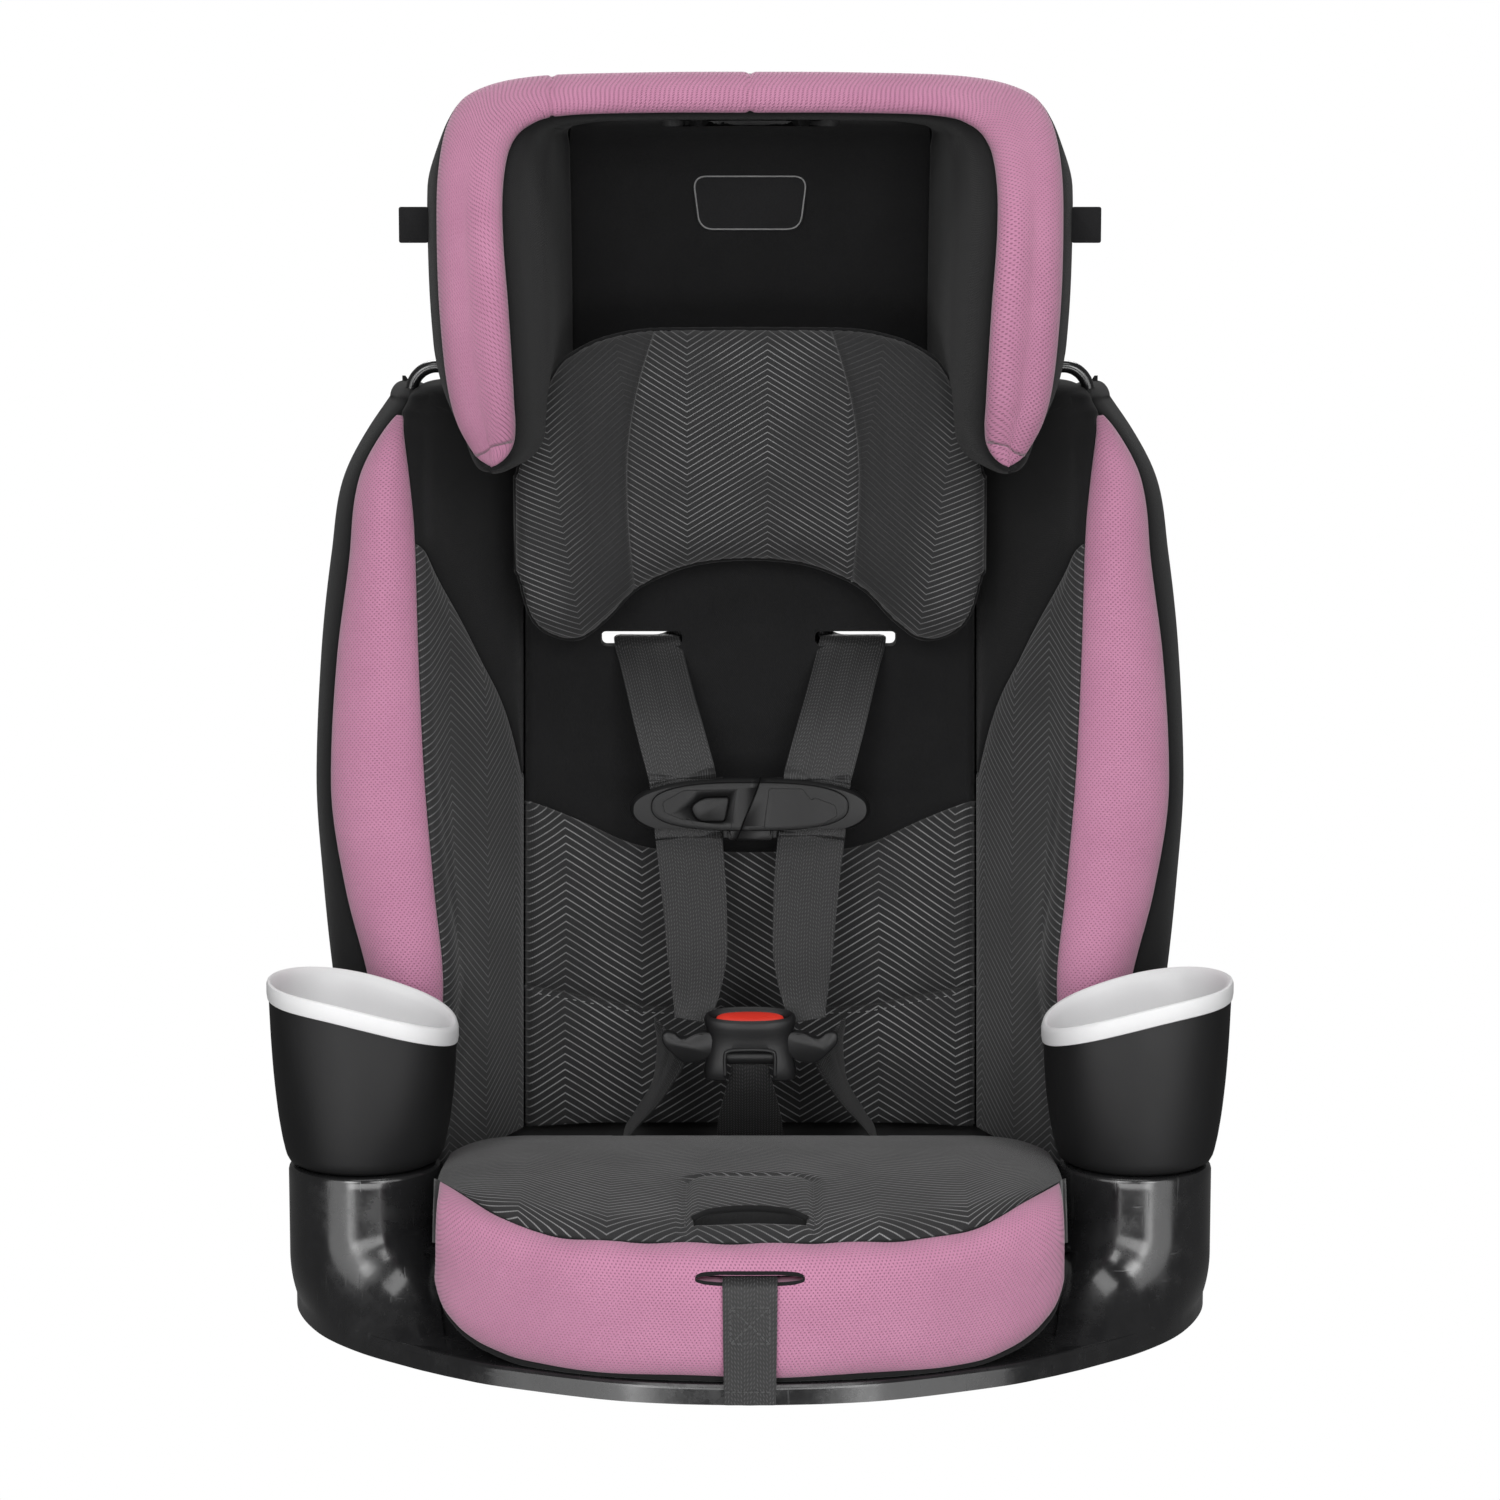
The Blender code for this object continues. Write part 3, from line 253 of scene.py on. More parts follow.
def scuffed_plastic(name):
    """Glossy black moulding with fine scratches, dull rubbed patches and moulding streaks."""
    paint = Paint(name, 0.20, coat=0.25, specular=0.55)
    streaks = paint.noise(55.0, 4.0, paint.object_point((1.0, 1.0, 0.05)), 0.6)
    rubs = paint.noise(42.0, 6.0, None, 0.7)
    scratch_a = paint.noise(260.0, 2.0, paint.object_point((1.0, 0.3, 0.08)), 0.8)
    scratch_b = paint.noise(240.0, 2.0, paint.object_point((0.12, 0.4, 1.0)), 0.8)
    scratches = paint.math("MAXIMUM", paint.step(scratch_a, 0.64, 0.74), paint.step(scratch_b, 0.66, 0.76))
    tone = paint.math("MULTIPLY_ADD", rubs, 0.5, paint.math("MULTIPLY", streaks, 0.5))
    tone = paint.math("MULTIPLY_ADD", scratches, 0.25, tone)
    paint.colour(paint.mix(tone, (0.0050, 0.0050, 0.0054), (0.0220, 0.0220, 0.0230)))
    dull = paint.math("MULTIPLY_ADD", scratches, 0.16, paint.step(rubs, 0.35, 0.75, 0.17, 0.40))
    paint.rough(dull)
    height = paint.math("MULTIPLY_ADD", scratches, -0.4, rubs)
    paint.bump(height, 0.0004, 0.22)
    return paint.material


def satin_plastic(name, dark, light, roughness, grain_size=1400.0, depth=0.00012):
    """Moulded plastic with a very fine spark-eroded texture and faint flow marks."""
    paint = Paint(name, roughness, specular=0.26)
    grain = paint.noise(grain_size, 2.0)
    flow = paint.noise(24.0, 4.0, paint.object_point((1.0, 1.0, 0.35)))
    paint.colour(paint.mix(paint.math("MULTIPLY_ADD", grain, 0.25, paint.math("MULTIPLY", flow, 0.75)),
                           dark, light))
    paint.rough(paint.step(flow, 0.2, 0.8, roughness * 0.88, roughness * 1.15))
    paint.bump(grain, depth, 0.35)
    return paint.material


def brushed_metal(name):
    paint = Paint(name, 0.34, metallic=1.0)
    brush = paint.noise(320.0, 3.0, paint.object_point((0.05, 1.0, 1.0)))
    paint.colour(paint.mix(brush, (0.34, 0.34, 0.35), (0.62, 0.62, 0.63)))
    paint.rough(paint.step(brush, 0.2, 0.8, 0.26, 0.44))
    paint.bump(brush, 0.0001, 0.3)
    return paint.material


def thread(name, colour):
    paint = Paint(name, 0.7, sheen=0.3)
    twist = paint.noise(2600.0, 1.0)
    dark = tuple(channel * 0.55 for channel in colour)
    paint.colour(paint.mix(twist, dark, colour))
    paint.bump(twist, 0.0001, 0.5)
    return paint.material


BLACK_CLOTH = plain_cloth("cover_black", (0.0032, 0.0032, 0.0034), (0.0150, 0.0150, 0.0156))
CHEVRON = chevron_cloth("cover_chevron")
CHEVRON_FAINT = chevron_cloth("cover_chevron_side", 0.55)
CHEVRON_FINE = chevron_cloth("cover_chevron_pillow", 0.9, 0.0036, 0.00025)
# The lobes' zigzag lines dim towards their seams with the middle panel: painted shade.
CHEVRON_LOBE_SEAM_SHADE = chevron_cloth("cover_chevron_lobe_seam_shade", 0.9, 0.0036, 0.00025, (-0.022, 0.012))
PINK = spacer_mesh("cover_pink")
WEBBING = webbing_cloth("webbing_black")
GLOSS = scuffed_plastic("shell_black")
SATIN = satin_plastic("shell_satin", (0.0045, 0.0045, 0.0048), (0.0100, 0.0100, 0.0105), 0.52)
CUP_GREY = satin_plastic("cup_grey", (0.74, 0.74, 0.745), (0.86, 0.86, 0.865), 0.42, depth=0.00006)
BUCKLE_BLACK = satin_plastic("buckle_black", (0.0070, 0.0070, 0.0074), (0.0190, 0.0190, 0.0198), 0.42,
                             1100.0)
CLIP_BLACK = satin_plastic("clip_black", (0.0048, 0.0048, 0.0050), (0.0105, 0.0105, 0.0110), 0.46, 1300.0)
RED = satin_plastic("button_red", (0.70, 0.030, 0.018), (0.86, 0.060, 0.036), 0.45, 700.0, 0.0003)
STEEL = brushed_metal("steel")
TAG = plain_cloth("badge_grey", (0.0060, 0.0060, 0.0064), (0.0200, 0.0200, 0.0210), 0.0008)
GREY_THREAD = thread("thread_grey", (0.30, 0.30, 0.30))
DARK_THREAD = thread("thread_dark", (0.055, 0.055, 0.057))
PINK_THREAD = thread("thread_pink", (0.42, 0.16, 0.27))

# ---------------------------------------------------------------- mesh helpers


def lerp(a, b, t):
    return a + (b - a) * t


def smooth(t):
    t = min(max(t, 0.0), 1.0)
    return t * t * (3 - 2 * t)


def through(known, values, at, flat_ends=False):
    """A smooth curve through values at the known places, read at the places in `at`."""
    known = np.asarray(known, float)
    values = np.asarray(values, float).reshape(len(known), -1)
    at = np.clip(np.atleast_1d(np.asarray(at, float)), known[0], known[-1])
    step = np.diff(known)
    slope = np.diff(values, axis=0) / step[:, None]
    tangent = np.zeros_like(values)
    weight = step[:-1] / (step[:-1] + step[1:])
    tangent[1:-1] = slope[:-1] * (1 - weight)[:, None] + slope[1:] * weight[:, None]
    turns = slope[:-1] * slope[1:] <= 0
    limit = 2.2 * np.minimum(abs(slope[:-1]), abs(slope[1:]))
    tangent[1:-1] = np.where(turns, tangent[1:-1] * 0.25, np.clip(tangent[1:-1], -limit, limit))
    if not flat_ends:
        tangent[0], tangent[-1] = slope[0], slope[-1]
    k = np.clip(np.searchsorted(known, at, "right") - 1, 0, len(known) - 2)
    t = ((at - known[k]) / step[k])[:, None]
    h = step[k][:, None]
    return (
        values[k] * (2 * t**3 - 3 * t**2 + 1)
        + tangent[k] * h * (t**3 - 2 * t**2 + t)
        + values[k + 1] * (3 * t**2 - 2 * t**3)
        + tangent[k + 1] * h * (t**3 - t**2)
    )


def rounded(points, at):
    """A Catmull-Rom curve through points numbered 0, 1, 2 ..., read at the numbers in `at`."""
    points = np.asarray(points, float)
    at = np.clip(np.atleast_1d(at), 0, len(points) - 1)
    padded = np.vstack([2 * points[0] - points[1], points, 2 * points[-1] - points[-2]])
    k = np.clip(np.floor(at).astype(int), 0, len(points) - 2)
    t = (at - k)[:, None]
    a, b, c, d = (padded[k + i] for i in range(4))
    return 0.5 * (2 * b + (c - a) * t + (2 * a - 5 * b + 4 * c - d) * t**2 + (3 * b - a - 3 * c + d) * t**3)


def normals_of(points):
    across = np.gradient(points, axis=1)
    along = np.gradient(points, axis=0)
    normal = np.cross(across, along)
    length = np.linalg.norm(normal, axis=2, keepdims=True)
    return normal / np.maximum(length, 1e-12)


def run_length(points, axis):
    """Distance run along each line of the grid, from its start."""
    steps = np.linalg.norm(np.diff(points, axis=axis), axis=2)
    start = np.zeros_like(np.take(steps, [0], axis=axis))
    return np.concatenate([start, np.cumsum(steps, axis=axis)], axis=axis)


def edge_distance(points, open_edges=""):
    """Distance to the nearest sewn edge of a grid. open_edges lists edges that aren't sewn:
    l and r for the first and last column, b and t for the first and last row."""
    across, along = run_length(points, 1), run_length(points, 0)
    away = {
        "l": across,
        "r": across[:, -1:] - across,
        "b": along,
        "t": along[-1:] - along,
    }
    return np.min([d for edge, d in away.items() if edge not in open_edges] or [across * 0 + 1], axis=0)


def crown(distance, height, reach):
    """A cushion's rise at this distance from its seam: steep at the seam, then flat."""
    t = np.clip(distance / reach, 0.0, 1.0)
    return height * np.sqrt(np.clip(1 - (1 - t) ** 2, 0.0, 1.0))


def finish_mesh(bm, name, material, body="root", sharp=None, replaces=(), slot=None):
    bmesh.ops.recalc_face_normals(bm, faces=bm.faces)
    mesh = bpy.data.meshes.new(name)
    bm.to_mesh(mesh)
    bm.free()
    mesh.shade_smooth()
    if sharp:
        mesh.set_sharp_from_angle(angle=math.radians(sharp))
    mesh.materials.append(material)
    obj = bpy.data.objects.new(name, mesh)
    bpy.context.scene.collection.objects.link(obj)
    if body:
        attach(obj, body)
    if replaces:
        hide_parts(*replaces)
    return obj


def grid_faces(bm, made, ring=False, turned=False):
    width = len(made[0])
    faces = []
    for low, high in zip(made, made[1:]):
        for i in range(width if ring else width - 1):
            j = (i + 1) % width
            corners = (low[i], low[j], high[j], high[i])
            faces.append(bm.faces.new(corners[::-1] if turned else corners))
    return faces


def write_cloth(bm, faces, where):
    """Stores each vertex's place on the cloth in the map named cloth."""
    layer = bm.loops.layers.uv.get("cloth") or bm.loops.layers.uv.new("cloth")
    for face in faces:
        for loop in face.loops:
            loop[layer].uv = where[loop.vert]


def cloth_map(points, centre=0.0):
    """Distance across each row, from its middle, and along the grid's middle column."""
    across = run_length(points, 1)
    across = across - across[:, -1:] * 0.5 + centre
    along = run_length(points, 0)
    return np.stack([across, along], axis=2)


def lofted(name, rings, material, caps=True, sharp=35, **facts):
    """A closed body through rings with equal numbers of points."""
    bm = bmesh.new()
    made = [[bm.verts.new(p) for p in ring] for ring in rings]
    grid_faces(bm, made, ring=True)
    if caps:
        bm.faces.new(made[0])
        bm.faces.new(made[-1])
    bmesh.ops.remove_doubles(bm, verts=bm.verts, dist=1e-6)
    return finish_mesh(bm, name, material, sharp=sharp, **facts)


def cord_mesh(name, line, radius, material, sides=8, closed=False, **facts):
    """A round cord along a line of points."""
    line = np.asarray(line, float)
    ahead = np.roll(line, -1, axis=0) - np.roll(line, 1, axis=0)
    if not closed:
        ahead[0], ahead[-1] = line[1] - line[0], line[-1] - line[-2]
    bm = bmesh.new()
    made = []
    side = None
    for point, direction, size in zip(line, ahead, np.broadcast_to(radius, len(line))):
        direction = Vector(direction).normalized()
        if side is None:
            side = direction.orthogonal().normalized()
        side = (side - direction * side.dot(direction)).normalized()
        up = direction.cross(side)
        ring = []
        for k in range(sides):
            angle = 2 * math.pi * k / sides
            out = side * math.cos(angle) + up * math.sin(angle)
            ring.append(bm.verts.new(Vector(point) + out * float(size)))
        made.append(ring)
    if closed:
        made.append(made[0])
    grid_faces(bm, made, ring=True)
    if not closed:
        bm.faces.new(made[0])
        bm.faces.new(made[-1])
    return finish_mesh(bm, name, material, **facts)


def stitches(name, line, normal, material, length=0.0030, gap=0.0022, radius=0.00042, **facts):
    """A row of short threads along a line of points, each sunk half into the cloth."""
    line = np.asarray(line, float)
    steps = np.linalg.norm(np.diff(line, axis=0), axis=1)
    run = np.concatenate([[0.0], np.cumsum(steps)])
    count = max(1, int(run[-1] / (length + gap)))
    bm = bmesh.new()
    for k in range(count):
        middle = (k + 0.5) * (length + gap)
        ends = [np.array([np.interp(middle + d, run, line[:, i]) for i in range(3)])
                for d in (-length / 2, -length / 4, 0.0, length / 4, length / 2)]
        along = Vector(ends[-1] - ends[0]).normalized()
        up = Vector(normal).normalized()
        across = along.cross(up).normalized()
        rings = []
        for point, size in zip(ends, (0.45, 0.9, 1.0, 0.9, 0.45)):
            ring = []
            for s in range(6):
                angle = 2 * math.pi * s / 6
                out = across * math.cos(angle) + up * math.sin(angle)
                ring.append(bm.verts.new(Vector(point) + out * radius * size))
            rings.append(ring)
        grid_faces(bm, rings, ring=True)
        bm.faces.new(rings[0])
        bm.faces.new(rings[-1])
    return finish_mesh(bm, name, material, **facts)


def cut(obj, cutter):
    """Takes the cutter's shape out of obj for good, and removes the cutter."""
    hole = obj.modifiers.new("cut", "BOOLEAN")
    hole.operation = "DIFFERENCE"
    hole.solver = "EXACT"
    hole.object = cutter
    apply_modifiers(obj)
    bpy.data.objects.remove(cutter)


def apply_modifiers(obj):
    graph = bpy.context.evaluated_depsgraph_get()
    graph.update()
    mesh = bpy.data.meshes.new_from_object(obj.evaluated_get(graph))
    obj.modifiers.clear()
    obj.data = mesh


def block(low, high, radius=0.0):
    """A plain box for cutting, with its edges along Y rounded."""
    bm = bmesh.new()
    bmesh.ops.create_cube(bm, size=1.0)
    low, high = Vector(low), Vector(high)
    for vert in bm.verts:
        vert.co = [(low[i] + high[i]) / 2 + vert.co[i] * (high[i] - low[i]) for i in range(3)]
    if radius:
        edges = [e for e in bm.edges if abs(e.verts[0].co.y - e.verts[1].co.y) > 1e-6]
        bmesh.ops.bevel(bm, geom=edges, offset=radius, segments=5, affect="EDGES", profile=0.5)
    mesh = bpy.data.meshes.new("cutter")
    bm.to_mesh(mesh)
    bm.free()
    obj = bpy.data.objects.new("cutter", mesh)
    bpy.context.scene.collection.objects.link(obj)
    return obj

# ---------------------------------------------------------------- more mesh helpers


def catmull(knots, at):
    """Row i of knots is a list of points; each row is read at its own number at[i]."""
    count, most = knots.shape[:2]
    at = np.clip(at, 0, most - 1)
    before = 2 * knots[:, :1] - knots[:, 1:2]
    after = 2 * knots[:, -1:] - knots[:, -2:-1]
    knots = np.concatenate([before, knots, after], axis=1)
    k = np.clip(np.floor(at).astype(int), 0, most - 2)
    t = (at - k)[:, None]
    each = np.arange(count)
    a, b, c, d = (knots[each, k + i] for i in range(4))
    curve = 2 * b + (c - a) * t + (2 * a - 5 * b + 4 * c - d) * t**2
    return 0.5 * (curve + (3 * b - a - 3 * c + d) * t**3)


def flat_arrays(*values):
    shape = np.broadcast_shapes(*(np.shape(v) for v in values))
    return shape, [np.broadcast_to(v, shape).astype(float).ravel() for v in values]


def spread(low, high, count):
    """Numbers from low to high, closer together near both ends."""
    t = np.linspace(0, 1, count)
    t = 0.6 * t + 0.4 * (0.5 - 0.5 * np.cos(math.pi * t))
    return low + (high - low) * t


def hold_seams(obj, values):
    """Remembers how firmly each vertex is sewn: 1 on a seam or against the shell, 0 in the open."""
    layer = obj.data.attributes.new("sewn", "FLOAT", "POINT")
    layer.data.foreach_set("value", np.asarray(values, np.float32))


def settle(obj, pressure=3.0, cap=0.004, steps=14):
    """The filling presses the cover out between its seams: a cloth simulation, kept as mesh."""
    sewn = np.empty(len(obj.data.vertices), np.float32)
    obj.data.attributes["sewn"].data.foreach_get("value", sewn)
    group = obj.vertex_groups.new(name="sewn")
    for index, weight in enumerate(sewn):
        group.add([index], float(weight), "REPLACE")
    rest = np.array([vert.co for vert in obj.data.vertices])
    filling = obj.modifiers.new("filling", "CLOTH")
    filling.settings.vertex_group_mass = "sewn"
    filling.settings.quality = 4
    filling.settings.mass = 0.25
    filling.settings.tension_stiffness = 12
    filling.settings.compression_stiffness = 6
    filling.settings.shear_stiffness = 4
    filling.settings.bending_stiffness = 0.3
    filling.settings.use_pressure = True
    filling.settings.uniform_pressure_force = pressure
    filling.settings.effector_weights.gravity = 0.0
    for frame_number in range(1, steps + 1):
        bpy.context.scene.frame_set(frame_number)
    graph = bpy.context.evaluated_depsgraph_get()
    after = obj.evaluated_get(graph)
    moved = np.array([vert.co for vert in after.data.vertices]) - rest
    obj.modifiers.remove(filling)
    bpy.context.scene.frame_set(1)
    length = np.linalg.norm(moved, axis=1, keepdims=True)
    moved *= np.minimum(1.0, cap / np.maximum(length, 1e-9))
    obj.data.vertices.foreach_set("co", (rest + moved).ravel())
    obj.data.update()


def panel(name, points, material, depth, rise=0.0, reach=0.02, open_edges="", outwards=1, cloth=None,
          extra=0.0, fill=0.5, facing=None, **facts):
    """A sewn, padded panel. It rises from its seams, and its back lies depth behind them."""
    normal = normals_of(points) * outwards if facing is None else np.broadcast_to(facing, points.shape)
    away = edge_distance(points, open_edges)
    face = points + normal * (crown(away, rise, reach) + extra)[..., None]
    back = points - normal * depth
    place = cloth_map(points) if cloth is None else cloth
    rows, columns = points.shape[:2]
    bm = bmesh.new()
    fronts = [[bm.verts.new(p) for p in row] for row in face]
    backs = [[bm.verts.new(p) for p in row] for row in back]
    where = {}
    for made in (fronts, backs):
        for i in range(rows):
            for j in range(columns):
                where[made[i][j]] = place[i, j]
    faces = grid_faces(bm, fronts) + grid_faces(bm, backs, turned=True)

    def around(made):
        ring = made[0] + [row[-1] for row in made[1:]]
        return ring + made[-1][-2::-1] + [row[0] for row in made[-2:0:-1]]

    rim, under = around(fronts), around(backs)
    for i in range(len(rim)):
        j = (i + 1) % len(rim)
        faces.append(bm.faces.new((rim[j], rim[i], under[i], under[j])))
    write_cloth(bm, faces, where)
    obj = finish_mesh(bm, name, material, **facts)
    seam_hold = np.exp(-away / 0.006)
    hold_seams(obj, np.concatenate([seam_hold.ravel(), np.ones(rows * columns)]))
    return obj


def skin(name, points, start, thickness, material, outwards=1, sharp=40, **facts):
    """A moulded wall that lies `start` behind the points and is this thick."""
    normal = normals_of(points) * outwards
    front = points - normal * start
    rear = points - normal * (start + thickness)
    bm = bmesh.new()
    fronts = [[bm.verts.new(p) for p in row] for row in front]
    rears = [[bm.verts.new(p) for p in row] for row in rear]
    grid_faces(bm, fronts)
    grid_faces(bm, rears, turned=True)

    def around(made):
        ring = made[0] + [row[-1] for row in made[1:]]
        return ring + made[-1][-2::-1] + [row[0] for row in made[-2:0:-1]]

    rim, under = around(fronts), around(rears)
    for i in range(len(rim)):
        j = (i + 1) % len(rim)
        bm.faces.new((rim[j], rim[i], under[i], under[j]))
    return finish_mesh(bm, name, material, sharp=sharp, **facts)


def groove(distance, depth, width):
    """The depth pressed into the cover at this distance from a line of stitching."""
    return -depth * np.exp(-((np.asarray(distance) / width) ** 2))


# ---------------------------------------------------------------- bucket

# Height, front of the bolster, inner and outer edge of its front band, and its outer side.
LEVELS = np.array(
    [
        (0.0460, -0.010, 0.174, 0.200, 0.2180),
        (0.0700, -0.012, 0.175, 0.201, 0.2200),
        (0.1200, -0.012, 0.1740, 0.203, 0.2260),
        (0.1700, -0.010, 0.1705, 0.208, 0.2325),
        (0.2200, 0.000, 0.1755, 0.2215, 0.2385),
        (0.2800, 0.013, 0.1812, 0.2305, 0.2430),
        (0.3450, 0.034, 0.1855, 0.2285, 0.2415),
        (0.4000, 0.050, 0.1880, 0.2225, 0.2365),
        (0.4420, 0.069, 0.1903, 0.2200, 0.2310),
        (0.4680, 0.090, 0.1900, 0.2110, 0.2190),
        (0.4860, 0.118, 0.1860, 0.2010, 0.2080),
    ]
)
SIDE_REAR_Y = 0.205
PAN_HALF = 0.1346
SHOULDER_Z = 0.4860
SHOULDER_TURN = 0.0140  # heights above SHOULDER_Z turn back over the top of the shoulder
SHOULDER_REAR_Y = 0.1960
PAD_LOW_Z = 0.0660


def back_y(z):
    """The flat of the back leans away from the seat."""
    return 0.105 + 0.14 * (z - 0.060)


def bucket(column, height, side=1):
    """Points of the bucket: column 0 is its middle line, 4 the corner of the flat, 7 and 9 the
    edges of the bolster's front band and 12 the outer rear."""
    shape, (column, height) = flat_arrays(column, height)
    z = np.minimum(height, SHOULDER_Z)
    front, band_in, band_out, outer = through(LEVELS[:, 0], LEVELS[:, 1:], z).T
    flat_y = back_y(z)
    corner_y = flat_y - 0.012
    zero = np.zeros_like(z)
    half = zero + PAN_HALF
    section = (
        (zero, flat_y),
        (zero + 0.050, flat_y),
        (zero + 0.090, flat_y),
        (zero + 0.120, flat_y - 0.003),
        (half, corner_y),
        (lerp(half, band_in, 0.45), lerp(corner_y, front, 0.36)),
        (lerp(half, band_in, 0.85), lerp(corner_y, front, 0.72)),
        (band_in, front + 0.008),
        ((band_in + band_out) / 2, front),
        (band_out, front + 0.012),
        (outer, front + 0.045),
        (outer + 0.001, (front + SIDE_REAR_Y) / 2 + 0.02),
        (outer - 0.003, zero + SIDE_REAR_Y),
    )
    knots = np.array([np.stack([x, y, z], axis=1) for x, y in section]).transpose(1, 0, 2)
    points = catmull(knots, column)
    turn = np.clip((height - SHOULDER_Z) / SHOULDER_TURN, 0, 1) * math.pi / 2
    back = 1 - np.cos(turn)
    points[:, 1] = lerp(points[:, 1], np.maximum(points[:, 1], SHOULDER_REAR_Y), back)
    points[:, 0] = lerp(points[:, 0], points[:, 0] * 0.985, back)
    points[:, 2] += 0.0065 * np.sin(turn)
    points[:, 0] *= side
    return points.reshape(*shape, 3)


def pan(x, z):
    """A point on the flat of the back, whose corners curve forwards."""
    shape, (x, z) = flat_arrays(x, z)
    edge = np.clip((np.abs(x) - 0.085) / (PAN_HALF - 0.085), 0, 1)
    return np.stack([x, back_y(z) - 0.012 * edge**2, z], axis=1).reshape(*shape, 3)


def lumbar_seam_z(x):
    """The seam above the lumbar pad: low across the middle, rising towards the bolsters."""
    return through((0.0, 0.050, 0.070, 0.095, 0.115, 0.135),
                   (0.2225, 0.2240, 0.2280, 0.2390, 0.2480, 0.2560),
                   np.abs(x).ravel())[:, 0].reshape(np.shape(x))


def lower_seam_z(x):
    """The stitched seam under the lumbar pad."""
    return through((0.0, 0.060, 0.100, 0.135), (0.1320, 0.1330, 0.1400, 0.1480), np.abs(x).ravel())[
        :, 0
    ].reshape(np.shape(x))


CORNER_X = 0.1285  # the pads of the flat end here, at the bolsters' seams
SLOT_X, SLOT_Z = 0.0625, 0.3465


def pan_panel(name, low, high, material, rows, rise, reach, chevron_shift=0.0, **facts):
    x = spread(-CORNER_X, CORNER_X, 93)
    t = spread(0.0, 1.0, rows)[:, None]
    points = pan(x[None, :], lerp(low(x)[None, :], high(x)[None, :], t))
    cloth = np.stack([points[..., 0] + chevron_shift, points[..., 2]], axis=2)
    return panel(name, points, material, 0.0118, rise, reach, cloth=cloth, **facts)


def upper_edge(x):
    return 0.4660 - 0.0 * x


def floor_edge(x):
    return PAD_LOW_Z + 0.0 * x


def make_back_pads():
    upper = pan_panel(
        "upper_back_pad", lumbar_seam_z, upper_edge, BLACK_CLOTH, 64, 0.0040, 0.030,
        replaces=("back_pad_upper",), slot="cover_black", open_edges="t", fill=0.4,
    )
    settle(upper, 1.2, 0.0015)
    for _, side in SIDES:
        slot_x = side * SLOT_X
        cut(upper, block((slot_x - 0.0245, 0.05, SLOT_Z - 0.0040), (slot_x + 0.0228, 0.25, SLOT_Z + 0.0046),
                         0.0030))
    lumbar = pan_panel(
        "lumbar_cushion", lower_seam_z, lumbar_seam_z, CHEVRON, 52, 0.0085, 0.030, 0.063,
        replaces=("lumbar_pad",), slot="cover_chevron", fill=0.7,
    )
    settle(lumbar, 3.0, 0.0025)
    lower = pan_panel(
        "lower_back_cushion", floor_edge, lower_seam_z, CHEVRON, 44, 0.0055, 0.024, 0.063,
        replaces=("lower_back_pad",), slot="cover_chevron", open_edges="b", fill=0.5,
    )
    settle(lower, 2.0, 0.0015)
    x = np.linspace(-CORNER_X + 0.004, CORNER_X - 0.004, 160)
    line = pan(x, lower_seam_z(x) - 0.0026) + (0.0, -0.0034, 0.0)
    stitches("lumbar_stitching", line, (0, -1, 0), GREY_THREAD, 0.0022, 0.0030, 0.00032, body="root",
             slot="cover_black")


def pink_columns(height):
    """Inner and outer column of the coloured strip, which tapers to a point at the shoulder."""
    t = np.clip((height - 0.4180) / (0.4790 - 0.4180), 0, 1)
    narrow = 1 - np.sqrt(np.clip(1 - t**1.7, 0, 1))
    return lerp(7.0, 8.35, narrow), lerp(9.15, 8.35, narrow)


def chevron_top(column):
    """Height of the seam over the patterned inner panel of the bolster."""
    return through((4.0, 4.4, 5.0, 5.6, 6.2, 6.6, 7.0),
                   (0.2700, 0.3080, 0.3440, 0.3760, 0.3990, 0.4060, 0.4090),
                   column.ravel())[:, 0].reshape(column.shape)


SHOULDER_TOP = SHOULDER_Z + SHOULDER_TURN


def make_bolsters():
    for name, side in SIDES:
        facts = dict(outwards=side)
        across = spread(0.0, 1.0, 44)[None, :]
        column = 3.85 + 3.15 * across

        t = spread(0.0, 1.0, 96)[:, None]
        points = bucket(column, lerp(PAD_LOW_Z, chevron_top(column), t), side)
        inner = panel("bolster_inner_" + name, points, CHEVRON_FAINT, 0.0052, 0.0055, 0.030,
                      open_edges="b", replaces=("bolster_pad_" + name,), slot="cover_chevron", fill=0.5,
                      **facts)
        settle(inner, 2.0, 0.0015)

        t = spread(0.0, 1.0, 60)[:, None]
        height = lerp(chevron_top(column), SHOULDER_TOP, t)
        column_at = 3.85 + (pink_columns(height)[0] - 3.85) * across
        panel("bolster_upper_" + name, bucket(column_at, height, side), BLACK_CLOTH, 0.0052, 0.0040, 0.026,
              open_edges="t", slot="cover_black", fill=0.5, **facts)

        height = spread(PAD_LOW_Z, 0.4785, 150)[:, None]
        low, high = pink_columns(height)
        points = bucket(lerp(low, high, spread(0.0, 1.0, 34)[None, :]), height, side)
        strip = panel("bolster_strip_" + name, points, PINK, 0.0052, 0.0050, 0.022, open_edges="b",
                      slot="cover_pink", fill=0.6, **facts)
        settle(strip, 2.0, 0.0012)

        height = np.concatenate([spread(PAD_LOW_Z, SHOULDER_Z, 110),
                                 np.linspace(SHOULDER_Z + 0.001, SHOULDER_TOP, 12)])[:, None]
        low = pink_columns(height)[1]
        points = bucket(lerp(low, 11.6, spread(0.0, 1.0, 30)[None, :]), height, side)
        panel("bolster_side_" + name, points, BLACK_CLOTH, 0.0052, 0.0022, 0.012, open_edges="btr",
              slot="cover_black", fill=0.3, **facts)


